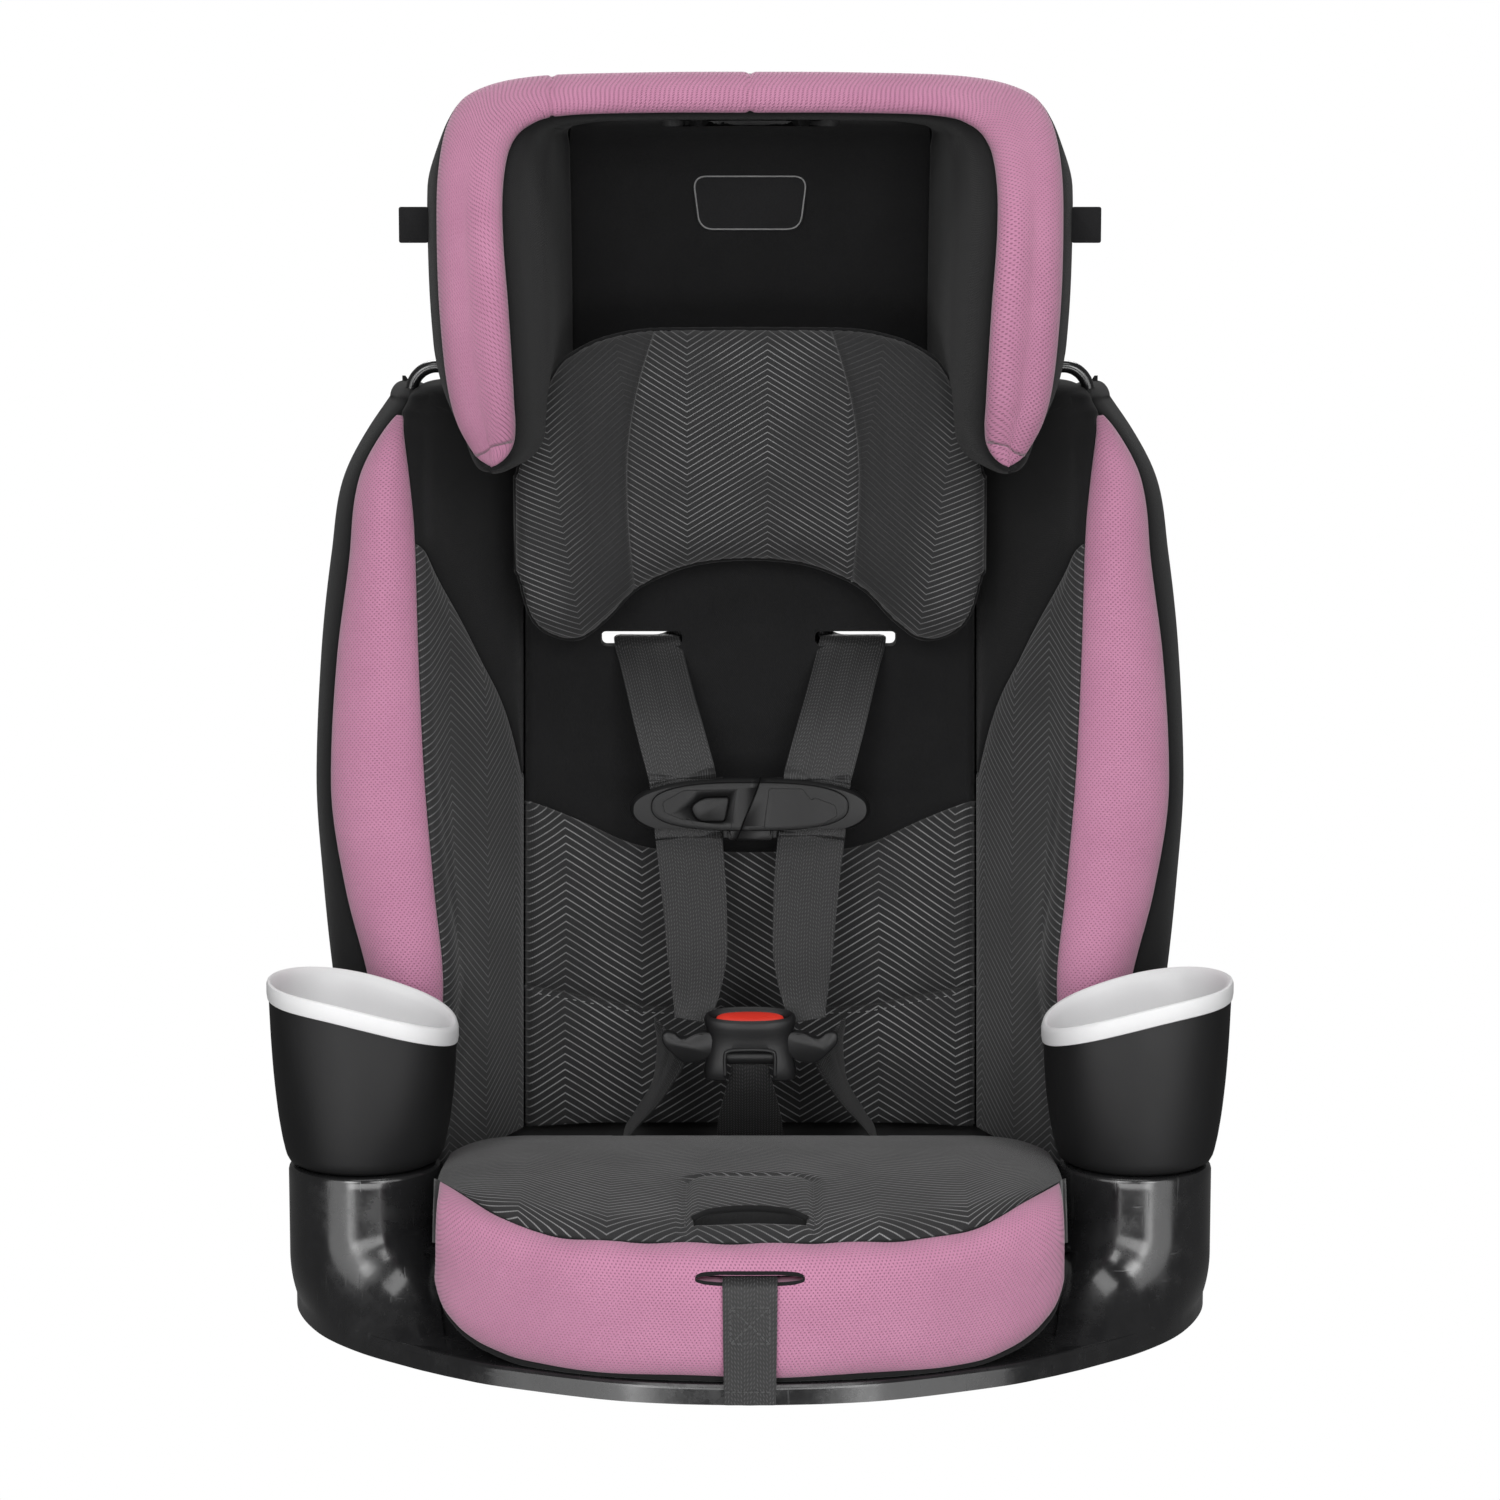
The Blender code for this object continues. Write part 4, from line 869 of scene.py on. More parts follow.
def make_back_shell():
    low, high = 0.0475, 0.4420
    height = np.linspace(low, high, 90)[:, None]
    column = np.concatenate([np.arange(-12.0, 12.01, 0.2)])[None, :]
    points = bucket(np.abs(column), height)
    points[..., 0] *= np.sign(column) + (column == 0)
    shell = skin("back_moulding", points, 0.0130, 0.0030, SATIN, body="root", replaces=("back_shell",),
                 slot="shell_black")
    for _, side in SIDES:
        slot_x = side * SLOT_X
        cut(shell, block((slot_x - 0.0250, 0.05, SLOT_Z - 0.0050), (slot_x + 0.0232, 0.25, SLOT_Z + 0.0055),
                         0.003))
        xs = sorted((side * 0.195, side * 0.300))
        cut(shell, block((xs[0], 0.090, 0.085), (xs[1], 0.165, 0.150), 0.008))


def make_braces():
    """Two ribs across the rear of the bucket, each a channel with a folded edge."""
    for level, z in {"lower": 0.1650, "upper": 0.3950}.items():
        front = back_y(z) + 0.0170
        half = float(through(LEVELS[:, 0], LEVELS[:, 4], z)[0, 0]) - 0.0210
        rings = []
        for x in np.linspace(-half, half, 61):
            rear = SIDE_REAR_Y - 0.001
            if abs(x) < 0.030:
                front_here = 0.1745
            else:
                front_here = front
            ring = [
                (x, front_here, z - 0.0015), (x, rear - 0.004, z - 0.0015), (x, rear - 0.004, z - 0.0075),
                (x, rear, z - 0.0090), (x, rear, z + 0.0005), (x, rear - 0.001, z + 0.0015),
                (x, front_here, z + 0.0015),
            ]
            rings.append(ring)
        lofted("brace_" + level, rings, SATIN, body="root", replaces=("rear_brace_" + level,),
               slot="shell_black")


# ---------------------------------------------------------------- headrest

# From the foot of a wing, up and over to the middle of the top: inner front edge, outer front
# edge and the seam between the wing and the flat of the headrest.
HEAD_ARC = np.array(
    (
        ((0.1310, 0.030, 0.470), (0.1520, 0.036, 0.462), (0.1046, 0.178, 0.472)),
        ((0.1315, 0.020, 0.500), (0.1630, 0.030, 0.492), (0.1046, 0.181, 0.500)),
        ((0.1335, 0.018, 0.540), (0.1680, 0.030, 0.535), (0.1046, 0.185, 0.540)),
        ((0.1365, 0.025, 0.580), (0.1702, 0.040, 0.580), (0.1050, 0.188, 0.580)),
        ((0.1370, 0.045, 0.610), (0.1705, 0.058, 0.617), (0.1052, 0.184, 0.608)),
        ((0.1330, 0.065, 0.631), (0.1660, 0.082, 0.644), (0.1050, 0.174, 0.630)),
        ((0.1220, 0.080, 0.643), (0.1540, 0.100, 0.6585), (0.1035, 0.162, 0.6430)),
        ((0.1020, 0.090, 0.6485), (0.1220, 0.112, 0.6665), (0.0800, 0.152, 0.6485)),
        ((0.0550, 0.097, 0.6500), (0.0620, 0.118, 0.6690), (0.0430, 0.150, 0.6492)),
        ((0.0000, 0.099, 0.6500), (0.0000, 0.120, 0.6695), (0.0000, 0.150, 0.6495)),
    )
)
HEAD_ARC = np.concatenate([HEAD_ARC, HEAD_ARC[-2::-1] * (-1.0, 1.0, 1.0)])
ARC_END = len(HEAD_ARC) - 1
HEAD_REAR_Y = 0.217
# Where the foot of a wing closes, for columns 2 (seam), 3, 4 to 6 (front edge), 7 and 8 (rear).
FOOT_COLUMNS = (2.0, 3.0, 4.0, 6.0, 7.0, 8.0)
FOOT = np.array(
    (
        (0.128, 0.200, 0.462),
        (0.136, 0.115, 0.455),
        (0.1435, 0.021, 0.453),
        (0.1435, 0.021, 0.453),
        (0.136, 0.115, 0.455),
        (0.128, 0.200, 0.462),
    )
)


def head(column, along):
    """Points of the headrest: column 2 is the seam of the flat, 4 and 6 the edges of the
    coloured band and 8 the outer rear; along runs from the right foot, over the top."""
    shape, (column, along) = flat_arrays(column, along)
    table = HEAD_ARC.reshape(1, ARC_END + 1, 9)
    knots = np.broadcast_to(table, (len(along), ARC_END + 1, 9))
    found = catmull(knots, along).reshape(-1, 3, 3)
    inner, outer, seam = found[:, 0], found[:, 1], found[:, 2]
    middle = (inner + outer) / 2 + (0.0, -0.009, 0.0)
    rear_z = np.maximum(outer[:, 2] - 0.004, 0.360 + 0.30 * outer[:, 2])
    low = np.clip((0.660 - outer[:, 2]) / 0.050, 0, 1)
    wing = low * low * (3 - 2 * low) * np.sign(outer[:, 0])
    rear = np.stack([outer[:, 0] * 0.985 + wing * 0.0060, np.full(len(outer), HEAD_REAR_Y), rear_z], axis=1)
    flank = lerp(outer, rear, 0.42)
    flank[:, 0] += wing * 0.0090
    flank[:, 2] = lerp(outer[:, 2], rear[:, 2], 0.7)
    centre = seam * (0.0, 1.0, 1.0)
    section = (centre, (centre + seam) / 2, seam, (seam + inner) / 2, inner, middle, outer, flank, rear)
    points = catmull(np.stack(section, axis=1), column)
    below = np.maximum(-along, along - ARC_END)
    turn = np.clip(below, 0, 1) * math.pi / 2
    foot = np.stack([np.interp(column, FOOT_COLUMNS, FOOT[:, i]) for i in range(3)], axis=1)
    foot[:, 0] *= np.where(along < ARC_END / 2, 1.0, -1.0)
    back, down = 1 - np.cos(turn), np.sin(turn)
    points[:, 0] = lerp(points[:, 0], foot[:, 0], back)
    points[:, 1] = lerp(points[:, 1], foot[:, 1], back)
    points[:, 2] = lerp(points[:, 2], foot[:, 2], down)
    return points.reshape(*shape, 3)


def trim_columns(along):
    """Inner and outer column of the coloured band, rounded at each foot of the headrest."""
    up = np.minimum(along, ARC_END - along)
    half = np.sqrt(np.clip(1 - (np.maximum(0.6 - up, 0) / 1.32) ** 2, 0, 1))
    middle = lerp(5.0, 4.85, np.clip((0.6 - up) / 1.3, 0, 1))
    return middle - half, middle + half


def make_head():
    foot_turn = spread(-1.0, -0.02, 16)
    along = np.linspace(0.0, ARC_END, 190)
    middle_seam, side_seam = ARC_END / 2 + spread(-0.12, 0.12, 13), np.linspace(10.6, 11.8, 49)
    along = np.unique(np.concatenate([along, middle_seam, side_seam]))
    arc = np.concatenate([foot_turn, along, ARC_END - foot_turn[::-1]])[:, None]
    low, high = trim_columns(arc)
    across = spread(0.0, 1.0, 30)[None, :]

    band = arc[(arc[:, 0] > -0.715) & (arc[:, 0] < ARC_END + 0.715)]
    ends = np.array([-0.7195, ARC_END + 0.7195])
    band = np.concatenate([ends[:1, None], band, ends[1:, None]])
    band_low, band_high = trim_columns(band)
    points = head(lerp(band_low, band_high, across), band)
    across_x = points[..., 0]
    seams = groove(across_x, 0.0016, 0.0016) + groove(across_x + 0.1115, 0.0014, 0.0014)
    seams = np.where(points[..., 2] > 0.642, seams, 0.0)
    trim = panel("headrest_band", points, PINK, 0.0021, 0.0060, 0.020, extra=seams,
                 replaces=("head_trim",), slot="cover_pink", fill=0.6)
    settle(trim, 2.0, 0.0015)

    points = head(lerp(2.0, low, spread(0.0, 1.0, 44)[None, :]), arc)
    panel("headrest_lining", points, BLACK_CLOTH, 0.0021, 0.0040, 0.028, open_edges="bt",
          replaces=("head_lining", "head_foam_left", "head_foam_right"), slot="cover_black", fill=0.4)

    points = head(lerp(high, 8.0, spread(0.0, 1.0, 36)[None, :]), arc)
    panel("headrest_outside", points, BLACK_CLOTH, 0.0021, 0.0024, 0.014, open_edges="btr",
          replaces=("head_outer_cover",), slot="cover_black", fill=0.3)

    z = np.concatenate([np.linspace(0.4700, 0.6300, 46),
                        0.6494 - 0.0194 * np.linspace(0.97, 0.0, 30) ** 1.6])
    half = through((0.470, 0.610, 0.630, 0.643, 0.6465, 0.6485, 0.6494),
                   (0.1046, 0.1052, 0.1050, 0.1035, 0.0960, 0.0800, 0.0400), z)
    seam_y = through(HEAD_ARC[:10, 2, 2], HEAD_ARC[:10, 2, 1], z)
    t = spread(-1.0, 1.0, 61)[None, :]
    points = np.stack([half * t, seam_y + 0 * t, z[:, None] + 0 * t], axis=2)
    panel("headrest_flat", points, BLACK_CLOTH, 0.0021, 0.0020, 0.016, open_edges="b",
          replaces=("head_center_pad",), slot="cover_black", fill=0.3)


def make_head_shell():
    arc = np.concatenate([np.linspace(-0.6, -0.02, 8), np.linspace(0.0, ARC_END, 150),
                          np.linspace(ARC_END + 0.02, ARC_END + 0.6, 8)])
    column = np.linspace(0.15, 8.0, 90)[None, :]
    points = head(column, arc[:, None])
    skin("headrest_moulding", points, 0.0036, 0.0030, SATIN, body="root", replaces=("head_shell",),
         slot="shell_black")


# ---------------------------------------------------------------- head pillow

PILLOW_TOP = (
    (0.0, 0.050, 0.075, 0.095, 0.108, 0.1155, 0.1210, 0.1275, 0.1335),
    (0.5265, 0.5262, 0.5235, 0.5165, 0.5070, 0.4940, 0.4790, 0.4640, 0.4440),
)
PILLOW_FOOT = (
    (0.0, 0.030, 0.050, 0.0675, 0.085, 0.100, 0.115, 0.1260, 0.1335),
    (0.3950, 0.3925, 0.3860, 0.3765, 0.3590, 0.3500, 0.3540, 0.3670, 0.3900),
)
PILLOW_HALF = 0.1335
PILLOW_Y = ((0.0, 0.050, 0.075, 0.095, 0.106, 0.116, 0.1335),
            (0.1310, 0.1300, 0.1250, 0.1185, 0.1110, 0.1060, 0.0985))


def even_table(table, x):
    """Reads a table of half values at x on either side."""
    known = np.array(table[0])
    values = np.array(table[1])
    both = np.concatenate([-known[:0:-1], known]), np.concatenate([values[:0:-1], values])
    shape = np.shape(x)
    return through(both[0], both[1], np.ravel(x), flat_ends=True)[:, 0].reshape(shape)


def pillow_seam_x(z, side):
    half = through((0.340, 0.376, 0.446, 0.526, 0.530), (0.0590, 0.0626, 0.0665, 0.0505, 0.0490),
                   np.ravel(z))[:, 0]
    return side * half.reshape(np.shape(z)) - 0.0040


def pillow_level(x, t):
    return lerp(even_table(PILLOW_FOOT, x), even_table(PILLOW_TOP, x), t)


def pillow_face(x, t):
    """Points of the whole pillow: plump in the middle, and thin at its outline."""
    edge_x = np.linspace(-PILLOW_HALF, PILLOW_HALF, 160)
    foot = np.column_stack([edge_x, even_table(PILLOW_FOOT, edge_x)])
    top = np.column_stack([edge_x, even_table(PILLOW_TOP, edge_x)])
    ends = [np.column_stack([np.full(30, side * PILLOW_HALF),
                             np.linspace(PILLOW_FOOT[1][-1], PILLOW_TOP[1][-1], 30)])
            for side in (-1, 1)]
    outline = np.concatenate([foot, top, *ends])
    z = pillow_level(x, t)
    flat = np.stack([x, z], axis=-1)
    away = np.min(np.linalg.norm(flat[..., None, :] - outline, axis=-1), axis=-1)
    y = even_table(PILLOW_Y, x) - crown(away, 0.0185, 0.036)
    return np.stack([x, y, z], axis=-1)


def pillow_seam(t, side):
    """x of a seam at each share t of the pillow's height."""
    x = np.full(np.shape(t), side * 0.06)
    for _ in range(4):
        x = pillow_seam_x(pillow_level(x, t), side)
    return x


def make_pillow():
    t = spread(0.0, 1.0, 84)[:, None]
    left, right = pillow_seam(t, -1), pillow_seam(t, 1)
    across = spread(0.0, 1.0, 70)[None, :]
    centre_x = lerp(left, right, across)
    points = pillow_face(centre_x, t + 0 * centre_x)
    cloth = np.stack([points[..., 0] + 0.036, points[..., 2]], axis=2)
    middle = panel("pillow_centre", points, CHEVRON_FINE, 0.0100, 0.0048, 0.012, cloth=cloth,
                   facing=(0.0, -1.0, 0.0),
                   replaces=("head_pillow",), slot="cover_chevron", fill=0.8)
    settle(middle, 3.0, 0.0020)
    across = np.sin(np.linspace(0.0, math.pi / 2, 52))[None, :]
    for name, side, seam in (("left", -1, left), ("right", 1, right)):
        x = lerp(seam, side * PILLOW_HALF + 0 * seam, across)
        if side < 0:
            x = x[:, ::-1]
        points = pillow_face(x, t + 0 * x)
        outwards, up = abs(points[..., 0]) - 0.112, points[..., 2] - 0.450
        lean = math.radians(9)
        cloth = np.stack([outwards * math.cos(lean) - up * math.sin(lean),
                          up * math.cos(lean) + outwards * math.sin(lean)], axis=2)
        lobe = panel("pillow_" + name, points, CHEVRON_LOBE_SEAM_SHADE, 0.0100, 0.0048, 0.012, cloth=cloth,
                     facing=(0.0, -1.0, 0.0),
                     slot="cover_chevron", fill=0.8)
        settle(lobe, 3.0, 0.0020)
    edge_x = PILLOW_HALF * np.sin(np.linspace(-math.pi / 2, math.pi / 2, 141))
    foot, top = (pillow_face(edge_x, np.full(len(edge_x), end)) for end in (0.0, 1.0))
    piping = np.concatenate([foot, top[::-1]])
    cord_mesh("pillow_piping", piping + (0.0, 0.0010, 0.0), 0.0016, BLACK_CLOTH, closed=True, body="root",
              slot="cover_black")
    for side in (-1, 1):
        seam = pillow_seam(t[:, 0], side)
        line = pillow_face(seam, t[:, 0]) + (0.0, 0.0004, 0.0)
        cord_mesh("pillow_seam_" + ("left" if side < 0 else "right"), line, 0.0007, DARK_THREAD,
                  body="root", slot="cover_black")


# ---------------------------------------------------------------- seat cushion and apron

# Half of the cushion's front seam: x, y, height, and the cushion's rear edge.
CUSHION = np.array(
    (
        (0.0000, -0.2165, 0.0790, 0.0880),
        (0.0300, -0.2150, 0.0790, 0.0880),
        (0.0600, -0.2130, 0.0790, 0.0880),
        (0.0900, -0.2050, 0.0788, 0.0880),
        (0.1150, -0.1930, 0.0812, 0.0880),
        (0.1300, -0.1820, 0.0852, 0.0860),
        (0.1400, -0.1720, 0.0884, 0.0560),
        (0.1500, -0.1590, 0.0906, 0.0150),
        (0.1585, -0.1460, 0.0917, -0.0180),
        (0.1660, -0.1350, 0.0920, -0.0350),
    )
)
PAD_BOTTOM_Z = 0.0580
HORSESHOE_X, HORSESHOE_TOP_Y, HORSESHOE_FRONT_Y = 0.0330, -0.1290, -0.2130


def cushion_top(y):
    """Height of the cushion: low at the back, highest over the front third."""
    along = (0.088 - y) / 0.303
    rise = 0.0300 * np.sin(np.minimum(along / 0.72, 1.0) * math.pi / 2)
    fall = 0.0080 * np.maximum(0.0, (along - 0.72) / 0.28) ** 2
    return 0.0625 + rise - fall


def front_edge(x):
    return even_table((CUSHION[:, 0], CUSHION[:, 1]), x)


def front_seam_z(x):
    return even_table((CUSHION[:, 0], CUSHION[:, 2]), x)


def horseshoe_distance(x, y):
    """Distance in plan from the arch of stitching in the middle of the front edge."""
    corner = 0.0130
    dx = np.abs(x) - (HORSESHOE_X - corner)
    dy = y - (HORSESHOE_TOP_Y - corner)
    outside = np.hypot(np.maximum(dx, 0), np.maximum(dy, 0)) + np.minimum(np.maximum(dx, dy), 0) - corner
    return outside


def make_cushion():
    x = spread(-0.1655, 0.1655, 151)[None, :]
    t = np.concatenate([np.linspace(0.0, 0.10, 20), np.linspace(0.11, 1.0, 84)])[:, None]
    front, rear = front_edge(x), even_table((CUSHION[:, 0], CUSHION[:, 3]), x)
    y = lerp(front, rear, t)
    seam_z = front_seam_z(x)
    roll = np.sqrt(np.clip(1 - (1 - np.clip((y - front) / 0.017, 0, 1)) ** 2, 0, 1))
    z = lerp(seam_z + 0 * y, cushion_top(y), roll)
    side = np.clip((0.1655 - np.abs(x)) / 0.024, 0, 1)
    z = z - 0.0062 * (1 - np.sqrt(np.clip(1 - (1 - side) ** 2, 0, 1))) * roll
    points = np.stack([x + 0 * y, y, z], axis=2)
    around = horseshoe_distance(points[..., 0], y)
    stitched = groove(around, 0.0030, 0.0026) + np.where(around < 0, 0.0008, 0.0)
    fade = np.clip((y - front) / 0.006, 0, 1)
    wrinkles = 0.0007 * np.sin(points[..., 0] * 95 + 1.3) * np.exp(-((y - front) / 0.022) ** 2)
    cloth = np.stack([points[..., 0] + 0.0726, run_length(points, 0)[:, 75:76] + 0 * y], axis=2)
    cushion = panel("seat_cushion", points, CHEVRON, 0.0020, 0.0, 0.02, cloth=cloth,
                    extra=(stitched + wrinkles) * fade,
                    outwards=1, open_edges="lrbt", replaces=("seat_pad", "seat_foam"), slot="cover_chevron",
                    fill=0.6)
    drop_back(cushion, points.shape, PAD_BOTTOM_Z)
    layer = cushion.data.attributes["sewn"]
    away = edge_distance(points)
    held = np.maximum(np.exp(-away / 0.010), np.exp(-(around / 0.005) ** 2))
    layer.data.foreach_set("value", np.concatenate([held.ravel(), np.ones(held.size)]).astype(np.float32))
    settle(cushion, 2.0, 0.0030)
    for _, side_sign in SIDES:
        xs = sorted((side_sign * 0.0660, side_sign * 0.0800))
        cut(cushion, block((xs[0], 0.046, 0.02), (xs[1], 0.094, 0.20), 0.003))
    cut(cushion, block((-0.0230, 0.0600, 0.02), (0.0230, 0.0800, 0.20), 0.003))
    cut(cushion, opening_cutter())
    make_opening_lip()
    make_horseshoe_stitches()


def drop_back(obj, shape, z):
    """Brings the underside of a panel down to a level face."""
    count = shape[0] * shape[1]
    for vert in obj.data.vertices[count : 2 * count]:
        vert.co.z = z


OPENING = ((-0.0290, -0.2010), (-0.0215, -0.1925), (-0.0110, -0.1885), (0.0, -0.1872))


def opening_outline():
    """The half-moon opening over the adjuster, in plan."""
    left = [np.array(p) for p in OPENING]
    arch = left + [p * (-1, 1) for p in left[-2::-1]]
    lip = [np.array((x, -0.2065 - 0.0010 * math.cos(x / 0.029 * math.pi / 2))) for x in np.linspace(0.0285,
        -0.0285, 9)]
    smooth_arch = rounded([(x, y, 0.0) for x, y in arch], np.linspace(0, len(arch) - 1, 31))[:, :2]
    return [tuple(p) for p in smooth_arch], [tuple(p) for p in lip]


def opening_cutter():
    arch, lip = opening_outline()
    ring = arch + lip
    bm = bmesh.new()
    low = [bm.verts.new((x, y, 0.0610)) for x, y in ring]
    high = [bm.verts.new((x, y, 0.1200)) for x, y in ring]
    bm.faces.new(low)
    bm.faces.new(high)
    for i in range(len(ring)):
        j = (i + 1) % len(ring)
        bm.faces.new((low[i], low[j], high[j], high[i]))
    bmesh.ops.recalc_face_normals(bm, faces=bm.faces)
    mesh = bpy.data.meshes.new("cutter")
    bm.to_mesh(mesh)
    bm.free()
    obj = bpy.data.objects.new("cutter", mesh)
    bpy.context.scene.collection.objects.link(obj)
    return obj


def cushion_height(x, y):
    """Height of the finished cushion near the middle of its front."""
    front = front_edge(np.asarray(x, float))
    roll = np.sqrt(np.clip(1 - (1 - np.clip((y - front) / 0.017, 0, 1)) ** 2, 0, 1))
    return lerp(front_seam_z(np.asarray(x, float)), cushion_top(y), roll)


def make_opening_lip():
    arch, _ = opening_outline()
    line = [(x, y, float(cushion_height(x, y)) + 0.0004) for x, y in arch]
    cord_mesh("adjuster_opening_lip", line, 0.0017, BLACK_CLOTH, body="root", slot="cover_black")


def make_horseshoe_stitches():
    corner = 0.0130
    line = [(-HORSESHOE_X, y) for y in np.linspace(HORSESHOE_FRONT_Y + 0.008, HORSESHOE_TOP_Y - corner, 20)]
    for cx, start in ((-HORSESHOE_X + corner, math.pi), (HORSESHOE_X - corner, math.pi / 2)):
        for k in range(9):
            angle = start - k / 8 * math.pi / 2
            line.append((cx + corner * math.cos(angle),
                         HORSESHOE_TOP_Y - corner + corner * math.sin(angle)))
    line += [(HORSESHOE_X, y) for y in np.linspace(HORSESHOE_TOP_Y - corner, HORSESHOE_FRONT_Y + 0.008, 20)]
    points = [(x, y, float(cushion_height(x, y)) - 0.0022) for x, y in line]
    stitches("horseshoe_stitching", points, (0, 0, 1), DARK_THREAD, 0.0026, 0.0016, 0.00040, body="root",
             slot="cover_black")


# Half of the apron: x, front bulge and bottom height.
APRON = np.array(
    (
        (0.0000, -0.2350, 0.0135),
        (0.0300, -0.2335, 0.0135),
        (0.0600, -0.2290, 0.0135),
        (0.0900, -0.2200, 0.0135),
        (0.1150, -0.2080, 0.0140),
        (0.1300, -0.2000, 0.0170),
        (0.1400, -0.1935, 0.0205),
        (0.1500, -0.1860, 0.0270),
        (0.1570, -0.1780, 0.0350),
        (0.1620, -0.1700, 0.0480),
    )
)
SLIT = (0.0275, 0.0635, 0.0668)  # half width, bottom and top


def apron_face(x, t):
    """A point of the apron's face: t runs from its bottom hem, 0, to the cushion's seam, 1."""
    shape, (x, t) = flat_arrays(x, t)
    bulge = even_table((APRON[:, 0], APRON[:, 1]), x)
    bottom = even_table((APRON[:, 0], APRON[:, 2]), x)
    seam_y, seam_z = front_edge(x) - 0.0006, front_seam_z(x) - 0.0008
    section = (
        (bulge + 0.0040, bottom),
        (bulge + 0.0005, lerp(bottom, seam_z, 0.16)),
        (bulge, lerp(bottom, seam_z, 0.42)),
        (bulge + 0.0006, lerp(bottom, seam_z, 0.68)),
        (lerp(seam_y, bulge, 0.72), lerp(bottom, seam_z, 0.88)),
        (seam_y, seam_z),
    )
    knots = np.array([np.stack([x, y, z], axis=1) for y, z in section]).transpose(1, 0, 2)
    return catmull(knots, t * 5).reshape(*shape, 3)


def make_apron():
    x = spread(-0.1618, 0.1618, 161)[None, :]
    t = spread(0.0, 1.0, 56)[:, None]
    points = apron_face(x, t)
    across, up = points[..., 0], points[..., 2]
    slit = np.hypot(np.maximum(abs(across) - 0.020, 0) * 0.8, up - 0.0652)
    pull = groove(slit, 0.0016, 0.0055)
    puckers = 0.0006 * np.sin(across * 150) * np.exp(-((1 - t) / 0.10) ** 2)
    puckers = puckers + 0.0007 * np.sin(across * 70 + 0.6) * np.exp(-(t / 0.22) ** 2)
    cloth = np.stack([run_length(points, 1), run_length(points, 0)], axis=2)
    apron = panel("front_apron", points, PINK, 0.0075, 0.0038, 0.016, extra=pull + puckers, cloth=cloth,
                  replaces=("seat_apron",), slot="cover_pink", fill=0.6)
    settle(apron, 2.5, 0.0015)
    half, low, high = SLIT
    cut(apron, block((-half, -0.30, low), (half, -0.2245, high), 0.0014))
    rim = []
    for k in range(48):
        angle = 2 * math.pi * k / 48
        sx = half + 0.0006
        x_at = sx * math.copysign(abs(math.cos(angle)) ** 0.55, math.cos(angle))
        z_at = 0.06515 + 0.0027 * math.copysign(abs(math.sin(angle)) ** 0.8, math.sin(angle))
        surface = apron_face(np.array([x_at] * 40), np.linspace(0.3, 1.0, 40))
        y_at = float(np.interp(z_at, surface[:, 2], surface[:, 1]))
        rim.append((x_at, y_at - 0.0024, z_at))
    cord_mesh("slit_binding", rim, 0.00115, BLACK_CLOTH, closed=True, body="root", slot="cover_black")
    hem_x = np.linspace(-0.1600, 0.1600, 180)
    hem = apron_face(hem_x, np.zeros(180)) + (0.0, -0.0004, -0.0010)
    hem[:, 2] = np.maximum(hem[:, 2], 0.0128)
    cord_mesh("apron_piping", hem, 0.0017, BLACK_CLOTH, body="root", slot="cover_black")
    top = apron_face(np.linspace(-0.1612, 0.1612, 200), np.ones(200)) + (0.0, -0.0006, 0.0)
    cord_mesh("cushion_seam", top, 0.0009, BLACK_CLOTH, body="root", slot="cover_black")
    for row_z in (0.0606, 0.0697):
        line = []
        for x_at in np.linspace(-0.0300, 0.0300, 40):
            surface = apron_face(np.array([x_at] * 40), np.linspace(0.3, 1.0, 40))
            line.append((x_at, float(np.interp(row_z, surface[:, 2], surface[:, 1])) - 0.0027, row_z))
        stitches(f"slit_stitching_{int(row_z * 1e4)}", line, (0, -1, 0), PINK_THREAD, 0.0024, 0.0014,
                 0.00035, body="root", slot="cover_pink")

# ---------------------------------------------------------------- moulded base

DECK_Z = 0.0445
OUTLINE = (
    (0.0000, -0.2365, "apron"),
    (0.0400, -0.2335, "apron"),
    (0.0760, -0.2255, "apron"),
    (0.1270, -0.2040, "apron"),
    (0.1500, -0.1900, "corner"),
    (0.1650, -0.1790, "corner"),
    (0.1760, -0.1700, "corner"),
    (0.2020, -0.1460, "corner"),
    (0.2230, -0.1190, "corner"),
    (0.2360, -0.0930, "corner"),
    (0.2450, -0.0650, "shoulder"),
    (0.2490, -0.0400, "shoulder"),
    (0.2510, -0.0100, "side"),
    (0.2520, 0.0600, "side"),
    (0.2510, 0.1600, "side"),
    (0.2420, 0.2050, "side"),
    (0.2180, 0.2320, "side"),
    (0.1800, 0.2400, "side"),
    (0.0900, 0.2400, "side"),
    (0.0000, 0.2400, "side"),
)
# For each kind of wall, (distance inwards, height) from the floor to the deck.
WALLS = {
    "apron": ((0.0, 0.0003), (0.0, 0.0092), (0.0014, 0.0106), (0.0210, 0.0120), (0.0215, 0.0380),
              (0.0240, DECK_Z)),
    "corner": ((0.0, 0.0003), (0.0, 0.0092), (0.0016, 0.0108), (0.0240, 0.0125), (0.0420, 0.0180),
               (0.0540, DECK_Z)),
    "shoulder": ((0.0, 0.0003), (0.0, 0.0240), (0.0010, 0.0320), (0.0080, 0.0400), (0.0160, 0.0435),
                 (0.0240, DECK_Z)),
    "side": ((0.0, 0.0003), (0.0, 0.0780), (0.0008, 0.0832), (0.0045, 0.0850), (0.0110, 0.0780),
             (0.0140, DECK_Z)),
}
CUP_X, CUP_Y = 0.2075, -0.075
PEDESTAL_R = 0.0405
PEDESTAL_TOP = 0.0867


def base_outline(places):
    """Floor outline read at station numbers, from the middle of the front to that of the rear."""
    knots = [(x, y, 0.0) for x, y, _ in OUTLINE]
    return rounded(knots, places)[:, :2]


